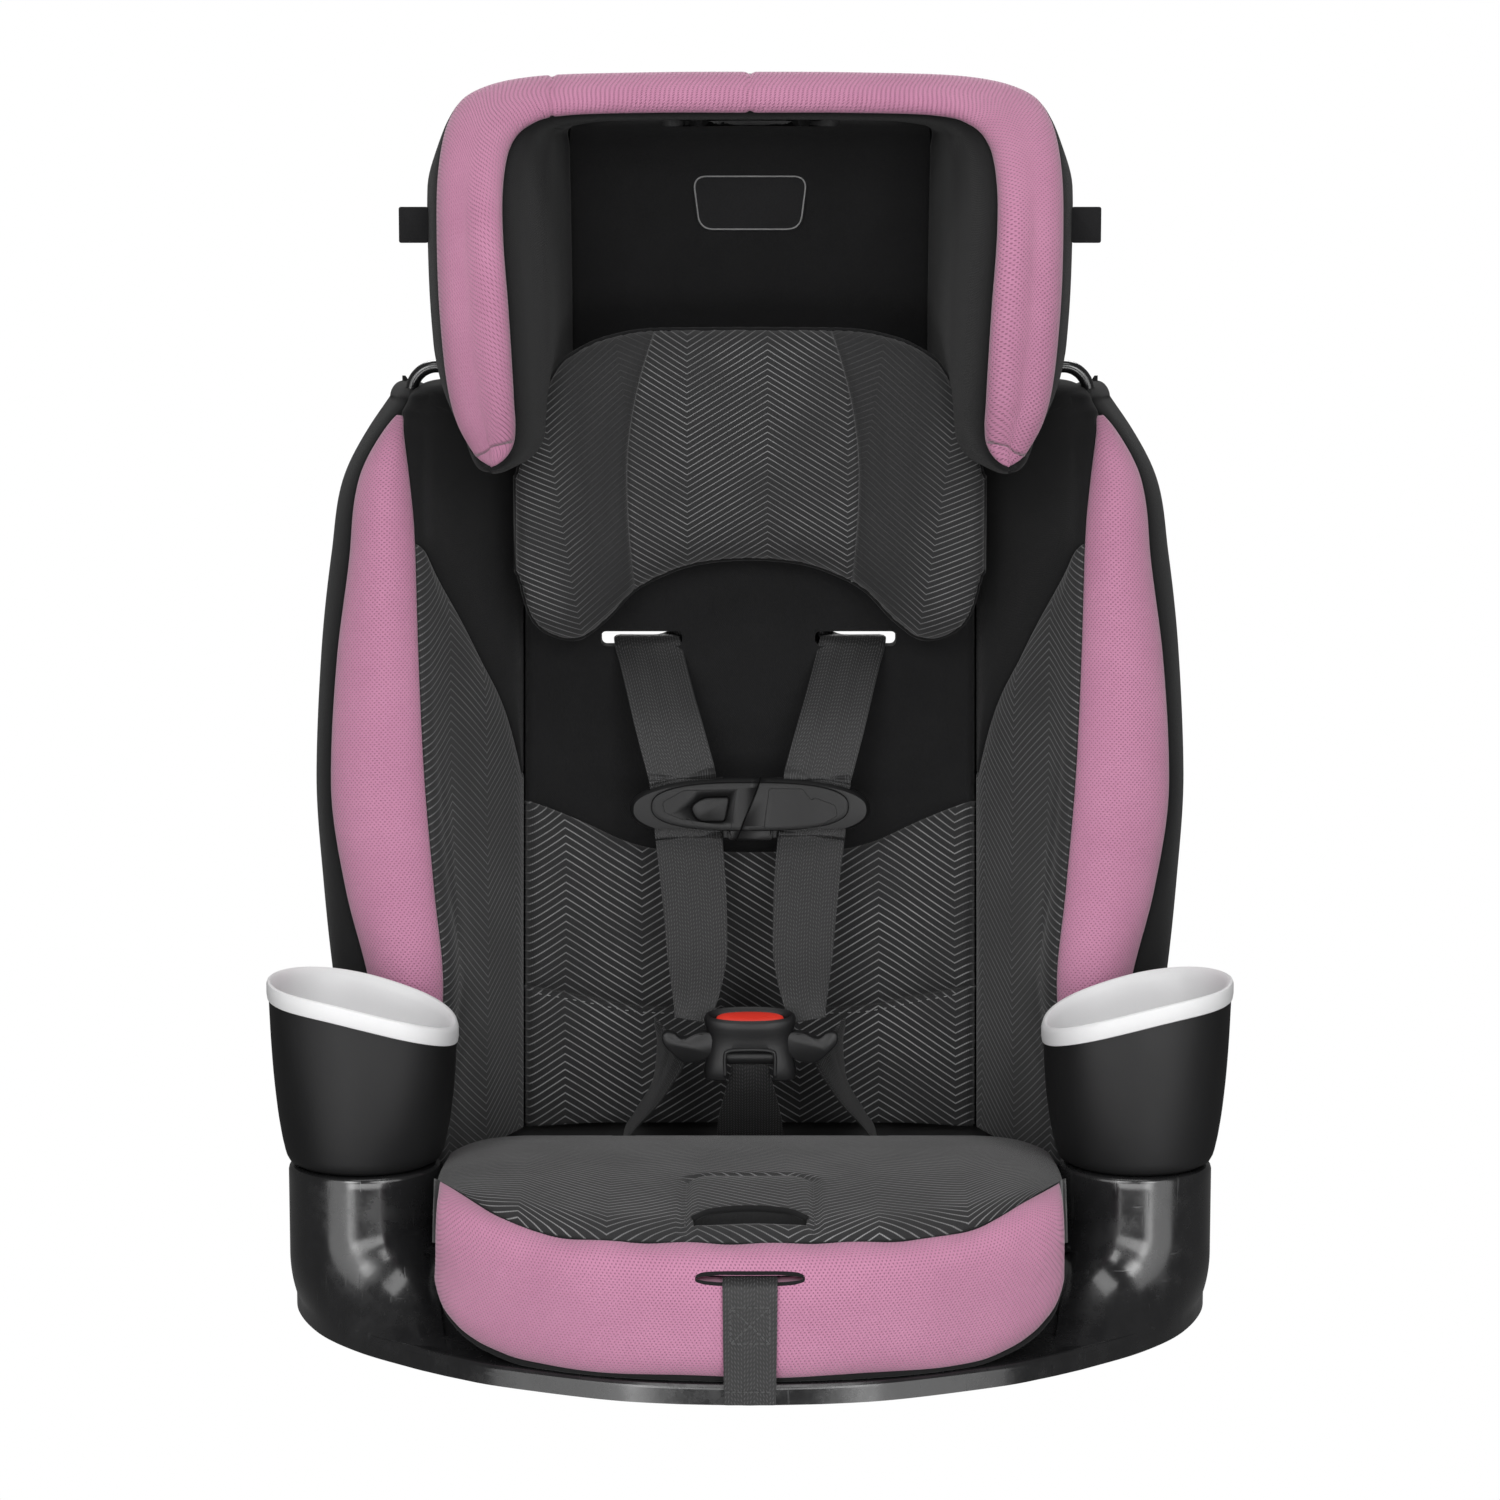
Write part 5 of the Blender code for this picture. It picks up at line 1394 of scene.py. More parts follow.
def base_walls(places):
    """Wall profiles at station numbers, each a list of (distance inwards, height)."""
    table = np.array([WALLS[kind] for _, _, kind in OUTLINE])
    low = np.clip(np.floor(places).astype(int), 0, len(OUTLINE) - 2)
    t = (places - low)[:, None, None]
    return table[low] * (1 - t) + table[low + 1] * t


def inwards(points, distance):
    direction = points * (1.0, 1.05)
    direction /= np.linalg.norm(direction, axis=1, keepdims=True)
    return points - direction * np.asarray(distance)[:, None]


def make_base():
    places = np.linspace(0, len(OUTLINE) - 1, 150)
    half = base_outline(places)
    walls = base_walls(places)
    half[0, 0] = half[-1, 0] = 0.0
    outline = np.concatenate([half, half[-2:0:-1] * (-1.0, 1.0)])
    walls = np.concatenate([walls, walls[-2:0:-1]])
    levels = []
    for t in np.linspace(0, 5, 41):
        k = min(int(t), 4)
        part = walls[:, k] * (1 - t + k) + walls[:, k + 1] * (t - k)
        ring = inwards(outline, part[:, 0])
        levels.append(np.column_stack([ring, part[:, 1]]))
    for inset in (0.05, 0.09, 0.13):
        levels.append(np.column_stack([inwards(outline, np.full(len(outline), inset)),
                                       np.full(len(outline), DECK_Z)]))
    bm = bmesh.new()
    made = [[bm.verts.new(p) for p in ring] for ring in levels]
    grid_faces(bm, made, ring=True)
    centre = bm.verts.new((0.0, 0.0, DECK_Z))
    for i in range(len(made[-1])):
        bm.faces.new((made[-1][i], made[-1][(i + 1) % len(made[-1])], centre))
    base = finish_mesh(bm, "base_moulding", GLOSS, sharp=50,
                       replaces=("base_shell", "base_side_left", "base_side_right"), slot="shell_black")
    wall = base.modifiers.new("wall", "SOLIDIFY")
    wall.thickness = 0.0026
    wall.offset = -1.0
    apply_modifiers(base)
    cut(base, block((-0.0230, 0.0600, 0.0), (0.0230, 0.0800, 0.1)))
    cut(base, block((-0.0230, 0.1500, 0.0), (0.0230, 0.1680, 0.1)))
    cut(base, block((-0.0230, -0.1640, 0.03), (0.0230, -0.1500, 0.1)))
    for name, side in SIDES:
        xs = sorted((side * 0.0660, side * 0.0800))
        cut(base, block((xs[0], 0.046, 0.0), (xs[1], 0.094, 0.1)))
        make_pedestal(name, side)
    base.data.shade_smooth()
    base.data.set_sharp_from_angle(angle=math.radians(50))


def make_pedestal(name, side):
    """The post under a cup holder, whose wall flares smoothly into the rim of the base."""
    turns = np.radians(np.linspace(-80, 215, 150))
    circle = np.column_stack([CUP_X + PEDESTAL_R * np.cos(turns), CUP_Y - PEDESTAL_R * np.sin(turns)])
    # The rim's stations that each direction flows to, from the side of the base to its front.
    stations = np.interp(np.degrees(turns), (-80, -20, 0, 30, 60, 90, 120, 150, 180, 215),
                         (12.2, 11.0, 10.2, 9.3, 8.4, 7.4, 6.5, 5.7, 5.0, 4.3))
    floor = base_outline(stations)
    reach = np.interp(np.degrees(turns), (-80, 0, 60, 110, 150, 215),
                      (0.030, 0.036, 0.052, 0.058, 0.058, 0.058))
    power = np.interp(np.degrees(turns), (-80, 30, 90, 150, 215), (2.0, 1.8, 1.9, 2.0, 2.0))
    rows = []
    for z in np.concatenate([[0.0004, 0.0030, 0.0060, 0.0085], np.linspace(0.0105, 0.0700, 46),
                             [0.0800, PEDESTAL_TOP - 0.0028]]):
        above = np.clip((z - 0.0085) / (reach - 0.0085), 0, 1)
        flare = (1 - above) ** power
        rows.append(np.column_stack([circle + (floor - circle) * flare[:, None], np.full(len(floor), z)]))
    for lift, inset in ((-0.0012, 0.0004), (-0.0003, 0.0014), (0.0, 0.0030)):
        ring = circle + (np.array((CUP_X, CUP_Y)) - circle) * inset / PEDESTAL_R
        rows.append(np.column_stack([ring, np.full(len(floor), PEDESTAL_TOP + lift)]))
    points = np.array(rows) * (side, 1.0, 1.0)
    skin("pedestal_skirt_" + name, points, -0.0003, 0.0022, GLOSS, outwards=-side, sharp=60, body="root",
         slot="shell_black")
    spin_profile(
        "pedestal_post_" + name, (side * CUP_X, CUP_Y),
        ((0.0, PEDESTAL_TOP), (PEDESTAL_R - 0.0035, PEDESTAL_TOP),
         (PEDESTAL_R - 0.0012, PEDESTAL_TOP - 0.0010),
         (PEDESTAL_R - 0.0006, PEDESTAL_TOP - 0.0030), (PEDESTAL_R - 0.0006, 0.0420),
         (PEDESTAL_R - 0.0030, 0.0420),
         (PEDESTAL_R - 0.0030, PEDESTAL_TOP - 0.0030), (0.0, PEDESTAL_TOP - 0.0030)),
        GLOSS, body="root", replaces=("cup_pedestal_" + name,), slot="shell_black")


SPIN_STEPS = 96


def spin_profile(name, centre, profile, material, **facts):
    """A closed profile of (radius, height) spun round a vertical axis."""
    bm = bmesh.new()
    rings = []
    for radius, height in profile:
        if radius <= 0:
            rings.append([bm.verts.new((centre[0], centre[1], height))])
            continue
        ring = []
        for k in range(SPIN_STEPS):
            angle = 2 * math.pi * k / SPIN_STEPS
            x = centre[0] + radius * math.cos(angle)
            y = centre[1] + radius * math.sin(angle)
            ring.append(bm.verts.new((x, y, height)))
        rings.append(ring)
    for low, high in zip(rings, rings[1:]):
        for k in range(SPIN_STEPS):
            j = (k + 1) % SPIN_STEPS
            corners = [low[k % len(low)], low[j % len(low)], high[j % len(high)], high[k % len(high)]]
            unique = list(dict.fromkeys(corners))
            if len(unique) > 2:
                bm.faces.new(unique)
    if len(rings[0]) > 1:
        bm.faces.new(rings[0])
    if len(rings[-1]) > 1:
        bm.faces.new(rings[-1])
    return finish_mesh(bm, name, material, sharp=40, **facts)


# ---------------------------------------------------------------- cup holders

CUP_FLOOR_Z, CUP_TOP_Z = 0.0870, 0.1742
CUP_MOUTH_R = 0.0498
CUP_TILT = 0.255
CUP_SQUARE = 0.055  # how far the corners of the mouth swell
CUP_WAVE = 0.0022  # how far the rim rises at its front and back


def cup_radius(t):
    """Outer radius of the cup, t from its floor to its mouth: a drum with a rounded foot."""
    return through((0.0, 0.015, 0.05, 0.12, 0.25, 0.47, 0.74, 1.0),
                   (0.0356, 0.0388, 0.0412, 0.0430, 0.0451, 0.0474, 0.0491, 0.0500), t)[:, 0]


def cup_mesh(name, side, profile, material, **facts):
    """A closed profile of (radius, height, share of the mouth's slant) carried round the cup."""
    rings = []
    for angle in np.linspace(0, 2 * math.pi, 112, endpoint=False):
        across, along = math.cos(angle), math.sin(angle)
        corner = abs(across * along * 2) ** 2.5
        ring = []
        for radius, height, share in profile:
            swell = radius * (1 + CUP_SQUARE * corner * share)
            lift = share * (CUP_TILT * radius * across - CUP_WAVE * math.cos(2 * angle))
            ring.append((side * (CUP_X + swell * across), CUP_Y + swell * along, height + lift))
        rings.append(ring)
    bm = bmesh.new()
    made = [[bm.verts.new(p) for p in ring] for ring in rings]
    for here, after in zip(made, made[1:] + made[:1]):
        for i in range(len(here)):
            j = (i + 1) % len(here)
            bm.faces.new((here[i], here[j], after[j], after[i]))
    bmesh.ops.recalc_face_normals(bm, faces=bm.faces)
    return finish_mesh(bm, name, material, sharp=40, **facts)


def make_cups():
    for name, side in SIDES:
        t = np.linspace(0, 1, 34)
        radius = cup_radius(t)
        height = CUP_FLOOR_Z + 0.0002 + t * (CUP_TOP_Z - 0.0070 - CUP_FLOOR_Z)
        share = t**1.2
        outer = list(zip(radius, height, share))
        inner = [(r - 0.0024, h + 0.0006, s) for r, h, s in outer[::-1] if h > CUP_FLOOR_Z + 0.002]
        profile = [(0.0030, CUP_FLOOR_Z + 0.0002, 0.0)] + outer + inner + [(0.0030, CUP_FLOOR_Z + 0.0026,
            0.0)]
        cup_mesh("cup_body_" + name, side, profile, SATIN, body="root", replaces=("cup_" + name,),
                 slot="shell_black")
        t = np.linspace(0.06, 1, 26)
        wall = cup_radius(t) - 0.0028
        level = CUP_FLOOR_Z + t * (CUP_TOP_Z - 0.0066 - CUP_FLOOR_Z)
        top, r = CUP_TOP_Z, CUP_MOUTH_R
        lip = [
            (r + 0.0002, top - 0.0068, 1.0), (r + 0.0009, top - 0.0064, 1.0),
            (r + 0.0013, top - 0.0040, 1.0),
            (r + 0.0013, top + 0.0006, 1.0), (r + 0.0007, top + 0.0024, 1.0),
            (r - 0.0004, top + 0.0030, 1.0),
            (r - 0.0018, top + 0.0026, 1.0), (r - 0.0030, top + 0.0008, 1.0),
            (r - 0.0042, top - 0.0030, 1.0),
        ]
        outside = list(zip(wall, level, t**1.2))
        inside = [(a - 0.0022, b, c) for a, b, c in outside[::-1]]
        profile = [(0.0030, CUP_FLOOR_Z + 0.0030, 0.0)] + outside + lip + inside[1:]
        profile += [(0.0335, CUP_FLOOR_Z + 0.0056, 0.0), (0.0030, CUP_FLOOR_Z + 0.0056, 0.0)]
        cup_mesh("cup_insert_" + name, side, profile, CUP_GREY, body="root",
                 replaces=("cup_liner_" + name,), slot="cup_grey")


# ---------------------------------------------------------------- harness

WEBBING_W, WEBBING_T = 0.0385, 0.0016
CLIP_Y, CLIP_Z = 0.0930, 0.2545
BUCKLE_Y = 0.0300


WEBBING_STEPS = 14  # cross sections from one point of a route to the next
WEAVE_SHIFT = 0.0031  # brings a column of the herringbone to the middle of the webbing


def webbing(name, route, half_width=WEBBING_W / 2, **facts):
    """Flat webbing with rounded edges along a smooth route of (centre, direction of its width)."""
    centres = [point for point, _ in route]
    sides = [side for _, side in route]
    at = np.linspace(0, len(route) - 1, WEBBING_STEPS * (len(route) - 1) + 1)
    line = rounded(centres, at)
    across = rounded(sides, at)
    along = np.gradient(line, axis=0)
    across -= along * (np.sum(across * along, axis=1) / np.sum(along * along, axis=1))[:, None]
    across /= np.linalg.norm(across, axis=1, keepdims=True)
    up = np.cross(across, along)
    up /= np.linalg.norm(up, axis=1, keepdims=True)
    run = np.concatenate([[0.0], np.cumsum(np.linalg.norm(np.diff(line, axis=0), axis=1))])
    half = np.broadcast_to(np.asarray(half_width, float), (len(route),))
    half = np.interp(at, np.arange(len(route)), half)
    u = np.linspace(-1, 1, 17)
    body = np.where(abs(u) > 0.93, 1.12, 1.0) * np.sqrt(np.clip(1 - np.abs(u) ** 26, 0, 1))
    body[0] = body[-1] = 0.45
    rings, places = [], []
    for i in range(len(at)):
        middle = line[i] + across[i] * (u * half[i])[:, None]
        rise = up[i] * (WEBBING_T / 2 * body)[:, None]
        top, low = middle + rise, middle - rise
        rings.append(np.concatenate([top, low[::-1]]))
        place = u * half[i] + WEAVE_SHIFT
        places.append([(p, run[i]) for p in np.concatenate([place, place[::-1]])])
    bm = bmesh.new()
    made = [[bm.verts.new(p) for p in ring] for ring in rings]
    where = {vert: place for ring, row in zip(made, places) for vert, place in zip(ring, row)}
    faces = grid_faces(bm, made, ring=True)
    faces += [bm.faces.new(made[0]), bm.faces.new(made[-1])]
    write_cloth(bm, faces, where)
    return finish_mesh(bm, name, WEBBING, sharp=50, slot="webbing_black", **facts)


def make_harness():
    rear_y = back_y(SLOT_Z) + 0.0200
    for name, side in SIDES:
        def at(x, y, z, across=(1.0, 0.0, 0.0)):
            return (side * x, y, z), (across[0], side * across[1], side * across[2])

        tilt = (1.0, 0.0, 0.16)
        above_clip = [
            at(0.0300, rear_y + 0.0030, 0.2990),
            at(0.0440, rear_y + 0.0030, 0.3260),
            at(0.0570, rear_y, 0.3440),
            at(0.0600, back_y(SLOT_Z) + 0.0090, SLOT_Z),
            at(0.0600, back_y(SLOT_Z) - 0.0030, SLOT_Z - 0.0012),
            at(0.0572, back_y(SLOT_Z) - 0.0120, 0.3360, tilt),
            at(0.0485, 0.1075, 0.3060, tilt),
            at(0.0395, CLIP_Y + 0.0018, CLIP_Z + 0.0200, (1.0, 0.0, 0.10)),
        ]
        in_clip = [
            at(0.0388, CLIP_Y + 0.0022, CLIP_Z + 0.0160),
            at(0.0370, CLIP_Y + 0.0014, CLIP_Z),
            at(0.0355, CLIP_Y + 0.0010, CLIP_Z - 0.0160),
        ]
        below_clip = [
            at(0.0350, CLIP_Y + 0.0006, CLIP_Z - 0.0200, (1.0, 0.0, 0.03)),
            at(0.0322, 0.0800, 0.2080),
            at(0.0302, 0.0630, 0.1750),
            at(0.0310, 0.0490, 0.1530),
            at(0.0335, 0.0425, 0.1400),
        ]
        full = WEBBING_W / 2
        taper = (full, 0.0186, 0.0172, 0.0132, 0.0095)
        if side < 0:
            webbing("shoulder_webbing_left", above_clip + in_clip + below_clip, (full,) * 11 + taper,
                    body="root", replaces=("shoulder_strap_left",))
        else:
            webbing("shoulder_webbing_clip", in_clip, body="clip_half_body",
                    replaces=("shoulder_strap_right_clip",))
            upper = webbing("shoulder_webbing_upper", above_clip + in_clip[:1], body=None,
                            replaces=("shoulder_strap_right_upper",))
            lower = webbing("shoulder_webbing_lower", in_clip[-1:] + below_clip, (full,) + taper, body=None,
                            replaces=("shoulder_strap_right_lower",))
            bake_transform(upper)
            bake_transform(lower)
        webbing(
            "lap_webbing_" + name,
            [
                at(0.0450, 0.0470, 0.1290, (0.50, 0.86, -0.10)),
                at(0.0480, 0.0540, 0.1140, (0.35, 0.93, -0.05)),
                at(0.0550, 0.0620, 0.0940, (0.15, 0.98, -0.02)),
                at(0.0660, 0.0690, 0.0760, (0.05, 1.0, 0.0)),
                at(0.0725, 0.0700, 0.0640, (0.0, 1.0, 0.0)),
                at(0.0730, 0.0700, 0.0350, (0.0, 1.0, 0.0)),
            ],
            body="root", replaces=("lap_strap_" + name,),
        )
    webbing(
        "crotch_webbing",
        [
            ((0.0, BUCKLE_Y - 0.0010, 0.1200), (1, 0, 0)),
            ((0.0, BUCKLE_Y + 0.0015, 0.1110), (1, 0, 0)),
            ((0.0, BUCKLE_Y + 0.0080, 0.0980), (1, 0, 0)),
            ((0.0, 0.0540, 0.0800), (1, 0, 0)),
            ((0.0, 0.0670, 0.0640), (1, 0, 0)),
            ((0.0, 0.0700, 0.0350), (1, 0, 0)),
        ],
        half_width=(0.0105, 0.0112, 0.0145, 0.0182, 0.0192, 0.0190), body="root",
        replaces=("crotch_strap",),
    )
    yoke_y = back_y(0.29) + 0.0290
    webbing(
        "adjuster_webbing",
        [
            ((0.0, yoke_y, 0.2826), (1, 0, 0)),
            ((0.0, yoke_y, 0.2500), (1, 0, 0)),
            ((0.0, 0.1640, 0.1400), (1, 0, 0)),
            ((0.0, 0.1600, 0.0600), (1, 0, 0)),
            ((0.0, 0.1560, 0.0330), (1, 0, 0)),
            ((0.0, 0.1480, 0.0265), (1, 0, 0)),
            ((0.0, -0.1350, 0.0265), (1, 0, 0)),
            ((0.0, -0.1560, 0.0360), (1, 0, 0)),
            ((0.0, -0.1590, 0.0500), (1, 0, 0)),
        ],
        body="root", replaces=("adjuster_strap",),
    )
    webbing(
        "pull_webbing",
        [
            ((0.0, -0.2070, 0.0610), (1, 0, 0)),
            ((0.0, -0.2130, 0.0645), (1, 0, 0)),
            ((0.0, -0.2300, 0.0652), (1, 0, 0)),
            ((0.0, -0.2380, 0.0630), (1, 0, 0)),
            ((0.0, -0.2398, 0.0560), (1, 0, 0)),
            ((0.0, -0.2400, 0.0350), (1, 0, 0)),
            ((0.0, -0.2396, 0.0150), (1, 0, 0)),
            ((0.0, -0.2392, 0.0015), (1, 0, 0)),
        ],
        half_width=(0.0135, 0.0135, 0.0137, 0.0138, 0.0137, 0.0135, 0.0132, 0.0130), body="root",
        replaces=("pull_strap",),
    )
    make_pull_stitches()


TAIL_FACE_Y = -0.2410
TAIL_BOX_LOW, TAIL_BOX_HIGH, TAIL_BOX_HALF = 0.0335, 0.0520, 0.0098
TAIL_STITCH = dict(length=0.0021, gap=0.0008, radius=0.00042)


def make_pull_stitches():
    """The box with a cross that holds the folded end of the tail, and its hem."""
    y, low, high, half = TAIL_FACE_Y, TAIL_BOX_LOW, TAIL_BOX_HIGH, TAIL_BOX_HALF
    lines = {
        "tail_box_stitch": [(-half, y, low), (half, y, low), (half, y, high), (-half, y, high),
                            (-half, y, low)],
        "tail_cross_up": [(-half, y, low), (half, y, high)],
        "tail_cross_down": [(half, y, low), (-half, y, high)],
        "tail_hem_stitch": [(-0.0125, y + 0.0004, 0.0085), (0.0125, y + 0.0004, 0.0085)],
    }
    for name, line in lines.items():
        stitches(name, line, (0, -1, 0), DARK_THREAD, body="root", slot="webbing_black", **TAIL_STITCH)


def superellipse(half_x, half_z, power, count=120):
    angle = np.linspace(0, 2 * math.pi, count, endpoint=False)
    c, s = np.cos(angle), np.sin(angle)
    return np.column_stack([half_x * np.sign(c) * abs(c) ** (2 / power),
                            half_z * np.sign(s) * abs(s) ** (2 / power)])


def slab(name, outline, stations, centre, material, **facts):
    """A plate in the XZ plane: each station is (inset of the outline, y)."""
    outline = np.asarray(outline, float)
    ahead = np.roll(outline, -1, axis=0) - np.roll(outline, 1, axis=0)
    normal = np.column_stack([ahead[:, 1], -ahead[:, 0]])
    normal /= np.maximum(np.linalg.norm(normal, axis=1, keepdims=True), 1e-9)
    rings = []
    for inset, y in stations:
        ring = outline - normal * inset
        rings.append([(centre[0] + x, y, centre[1] + z) for x, z in ring])
    return lofted(name, rings, material, **facts)


def rounded_polygon(corners, radius, steps=6):
    """A polygon, counter-clockwise, with its corners rounded."""
    corners = [Vector(c) for c in corners]
    found = []
    for i, corner in enumerate(corners):
        before = (corners[i - 1] - corner).normalized()
        after = (corners[(i + 1) % len(corners)] - corner).normalized()
        r = radius[i] if hasattr(radius, "__len__") else radius
        a, b = corner + before * r, corner + after * r
        for k in range(steps + 1):
            t = k / steps
            found.append(tuple((1 - t) ** 2 * a + 2 * t * (1 - t) * corner + t * t * b))
    return found


SPLIT_NORMAL = Vector((0.9315, 0.0, -0.3638))


def keep_side(obj, centre, sign, gap=0.00025):
    """Keeps the part of obj on one side of the slanting split of the chest clip."""
    bm = bmesh.new()
    bm.from_mesh(obj.data)
    point = Vector(centre) + SPLIT_NORMAL * gap * sign
    bmesh.ops.bisect_plane(bm, geom=bm.verts[:] + bm.edges[:] + bm.faces[:], plane_co=point,
                           plane_no=SPLIT_NORMAL,
                           clear_inner=sign > 0, clear_outer=sign < 0)
    open_edges = [edge for edge in bm.edges if edge.is_boundary]
    bmesh.ops.holes_fill(bm, edges=open_edges)
    bmesh.ops.recalc_face_normals(bm, faces=bm.faces)
    bm.to_mesh(obj.data)
    bm.free()


def make_chest_clip():
    front, rear = CLIP_Y - 0.0080, CLIP_Y + 0.0065
    centre = (-0.0005, 0.0, CLIP_Z)
    for name, side, body in (("left", -1, "root"), ("right", 1, "clip_half_body")):
        frame_plate = slab(
            "chest_clip_frame_" + name, superellipse(0.0690, 0.0184, 2.4),
            ((0.0060, front + 0.0030), (0.0022, front + 0.0034), (0.0006, front + 0.0052),
             (0.0, front + 0.0080),
             (0.0006, rear - 0.0010), (0.0020, rear)),
            (0.0, CLIP_Z - 0.0010), CLIP_BLACK, body=body, replaces=("chest_clip_" + name,),
            slot="buckle_black")
        keep_side(frame_plate, centre, side)
        xs = sorted((side * 0.0150, side * 0.0580))
        cut(frame_plate, block((xs[0], CLIP_Y - 0.0022, 0.22), (xs[1], CLIP_Y + 0.0044, 0.29)))
        cut(frame_plate, block((xs[0], CLIP_Y - 0.0100, 0.22), (xs[1], CLIP_Y + 0.0044, CLIP_Z - 0.0118),
                               0.0028))
        plate = slab(
            "chest_clip_plate_" + name, superellipse(0.0566, 0.0142, 2.6),
            ((0.0016, front + 0.0044), (0.0, front + 0.0032), (0.0, front + 0.0010),
             (0.0005, front + 0.0002),
             (0.0016, front - 0.0002), (0.0030, front - 0.0002)),
            (0.0, CLIP_Z + 0.0012), CLIP_BLACK, body=body, slot="buckle_black")
        keep_side(plate, centre, side)
        if side < 0:
            for holder in (plate, frame_plate):
                cut(holder, push_button("cutter", 0.0006, front - 0.01, front + 0.0048))
        tab = slab(
            "chest_clip_tab_" + name,
            rounded_polygon(((-0.0128, -0.0185), (0.0130, -0.0185), (0.0136, -0.0100), (-0.0134, -0.0100)),
                            (0.0022, 0.0022, 0.001, 0.001)),
            ((0.0018, front + 0.0010), (0.0004, front + 0.0016), (0.0, front + 0.0040),
             (0.0008, front + 0.0070)),
            (0.0, CLIP_Z), CLIP_BLACK, body=body, slot="buckle_black")
        keep_side(tab, centre, side)
    make_clip_relief(front)
    button = push_button("clip_push_button", 0.0, front - 0.0017, front + 0.0018)
    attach(button, "clip_button_body")
    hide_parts("chest_clip_button")
    lofted(
        "clip_tongue",
        [[(x, y, CLIP_Z + dz) for y, dz in ((front + 0.0034, -0.0060), (front + 0.0034, 0.0060),
                                            (front + 0.0056, 0.0060), (front + 0.0056, -0.0060))]
         for x in (-0.0105, 0.0120)],
        CLIP_BLACK, body="clip_half_body", slot="buckle_black")


BUTTON_CORNERS = ((-0.0300, -0.0072), (-0.0145, -0.0072), (-0.0120, 0.0045), (-0.0125, 0.0068),
                  (-0.0270, 0.0066), (-0.0348, 0.0015))


def push_button(name, grow, y_front, y_rear):
    """The D-shaped push button of the chest clip, or the hole around it."""
    outline = rounded_polygon(BUTTON_CORNERS, (0.0046, 0.0022, 0.0011, 0.0011, 0.0044, 0.0046))
    depth = y_rear - y_front
    return slab(name, outline, ((0.0009 - grow, y_front), (0.0003 - grow, y_front + 0.0004),
                                (-grow, y_front + 0.0010),
                                (-grow, y_front + depth)), (0.0, CLIP_Z), CLIP_BLACK, body=None)


def make_clip_relief(front):
    """Shallow raised shapes on both ends of the clip's face, with no marks on them."""
    left = rounded_polygon(
        ((-0.0300, -0.0118), (-0.0350, -0.0050), (-0.0372, -0.0066), (-0.0490, -0.0020), (-0.0500, 0.0040),
         (-0.0380, 0.0108), (-0.0080, 0.0112), (-0.0110, -0.0118)),
        0.0014, 3)[::-1]
    for name, sign, body in (("left", 1, "root"), ("right", -1, "clip_half_body")):
        outline = [(x * sign, z * sign) for x, z in left]
        line = [(x, front - 0.00022, CLIP_Z + z) for x, z in outline]
        cord_mesh("clip_relief_" + name, line, 0.00022, CLIP_BLACK, sides=6, closed=True, body=body,
                  slot="buckle_black")


def make_buckle():
    """A moulded buckle: a dished top around the red button, two legs and a window between them."""
    y = BUCKLE_Y
    rings = []
    stations = (
        # height, half width, half depth, forward shift, squareness
        (0.1090, 0.0240, 0.0072, 0.0000, 3.2),
        (0.1100, 0.0256, 0.0098, -0.0004, 3.2),
        (0.1140, 0.0262, 0.0110, -0.0006, 3.0),
        (0.1200, 0.0250, 0.0104, -0.0004, 2.8),
        (0.1260, 0.0236, 0.0098, -0.0002, 2.6),
        (0.1320, 0.0234, 0.0100, 0.0000, 2.4),
        (0.1370, 0.0244, 0.0106, 0.0000, 2.3),
        (0.1410, 0.0256, 0.0112, 0.0000, 2.2),
        (0.1440, 0.0258, 0.0114, 0.0000, 2.2),
        (0.1456, 0.0250, 0.0108, 0.0000, 2.2),
        (0.1462, 0.0238, 0.0098, 0.0000, 2.2),
        (0.1456, 0.0226, 0.0088, 0.0000, 2.2),
        (0.1430, 0.0214, 0.0080, 0.0000, 2.2),
        (0.1400, 0.0206, 0.0074, 0.0000, 2.2),
    )
    for z, half_x, half_y, shift, power in stations:
        ring = superellipse(half_x, half_y, power, 96)
        lean = 0.22
        rings.append([(x, y + shift + dy, z + lean * dy * smooth((z - 0.128) / 0.014)) for x, dy in ring])
    body = lofted("buckle_housing", rings, BUCKLE_BLACK, sharp=50, body="root",
                  replaces=("buckle_front", "buckle_back"), slot="buckle_black")
    window = block((-0.0132, y - 0.03, 0.1000), (0.0132, y + 0.03, 0.1262), 0.0034)
    cut(body, window)
    bevel = body.modifiers.new("edges", "BEVEL")
    bevel.width = 0.0009
    bevel.segments = 2
    bevel.limit_method = "ANGLE"
    bevel.angle_limit = math.radians(50)
    apply_modifiers(body)
    cord_mesh("buckle_window_rim",
              [(x, y - 0.0102, z) for x,
               z in rounded([(-0.0140, 0.1120, 0), (-0.0140, 0.1235, 0), (-0.0118, 0.1268, 0),
                             (0.0, 0.1276, 0), (0.0118, 0.1268, 0), (0.0140, 0.1235, 0),
                             (0.0140, 0.1120, 0)], np.linspace(0, 6, 50))[:, :2]],
              0.0011, BUCKLE_BLACK, body="root", slot="buckle_black")
    make_buckle_button(y)
    for name, side in SIDES:
        make_tongue(name, side, y)
    lofted(
        "buckle_web_bar",
        [[(x, y - 0.0035 + 0.0042 * math.cos(a), 0.1225 + 0.0042 * math.sin(a)) for a in np.linspace(0,
            2 * math.pi, 20, endpoint=False)] for x in (-0.0140, 0.0140)],
        BUCKLE_BLACK, body="root", slot="buckle_black")


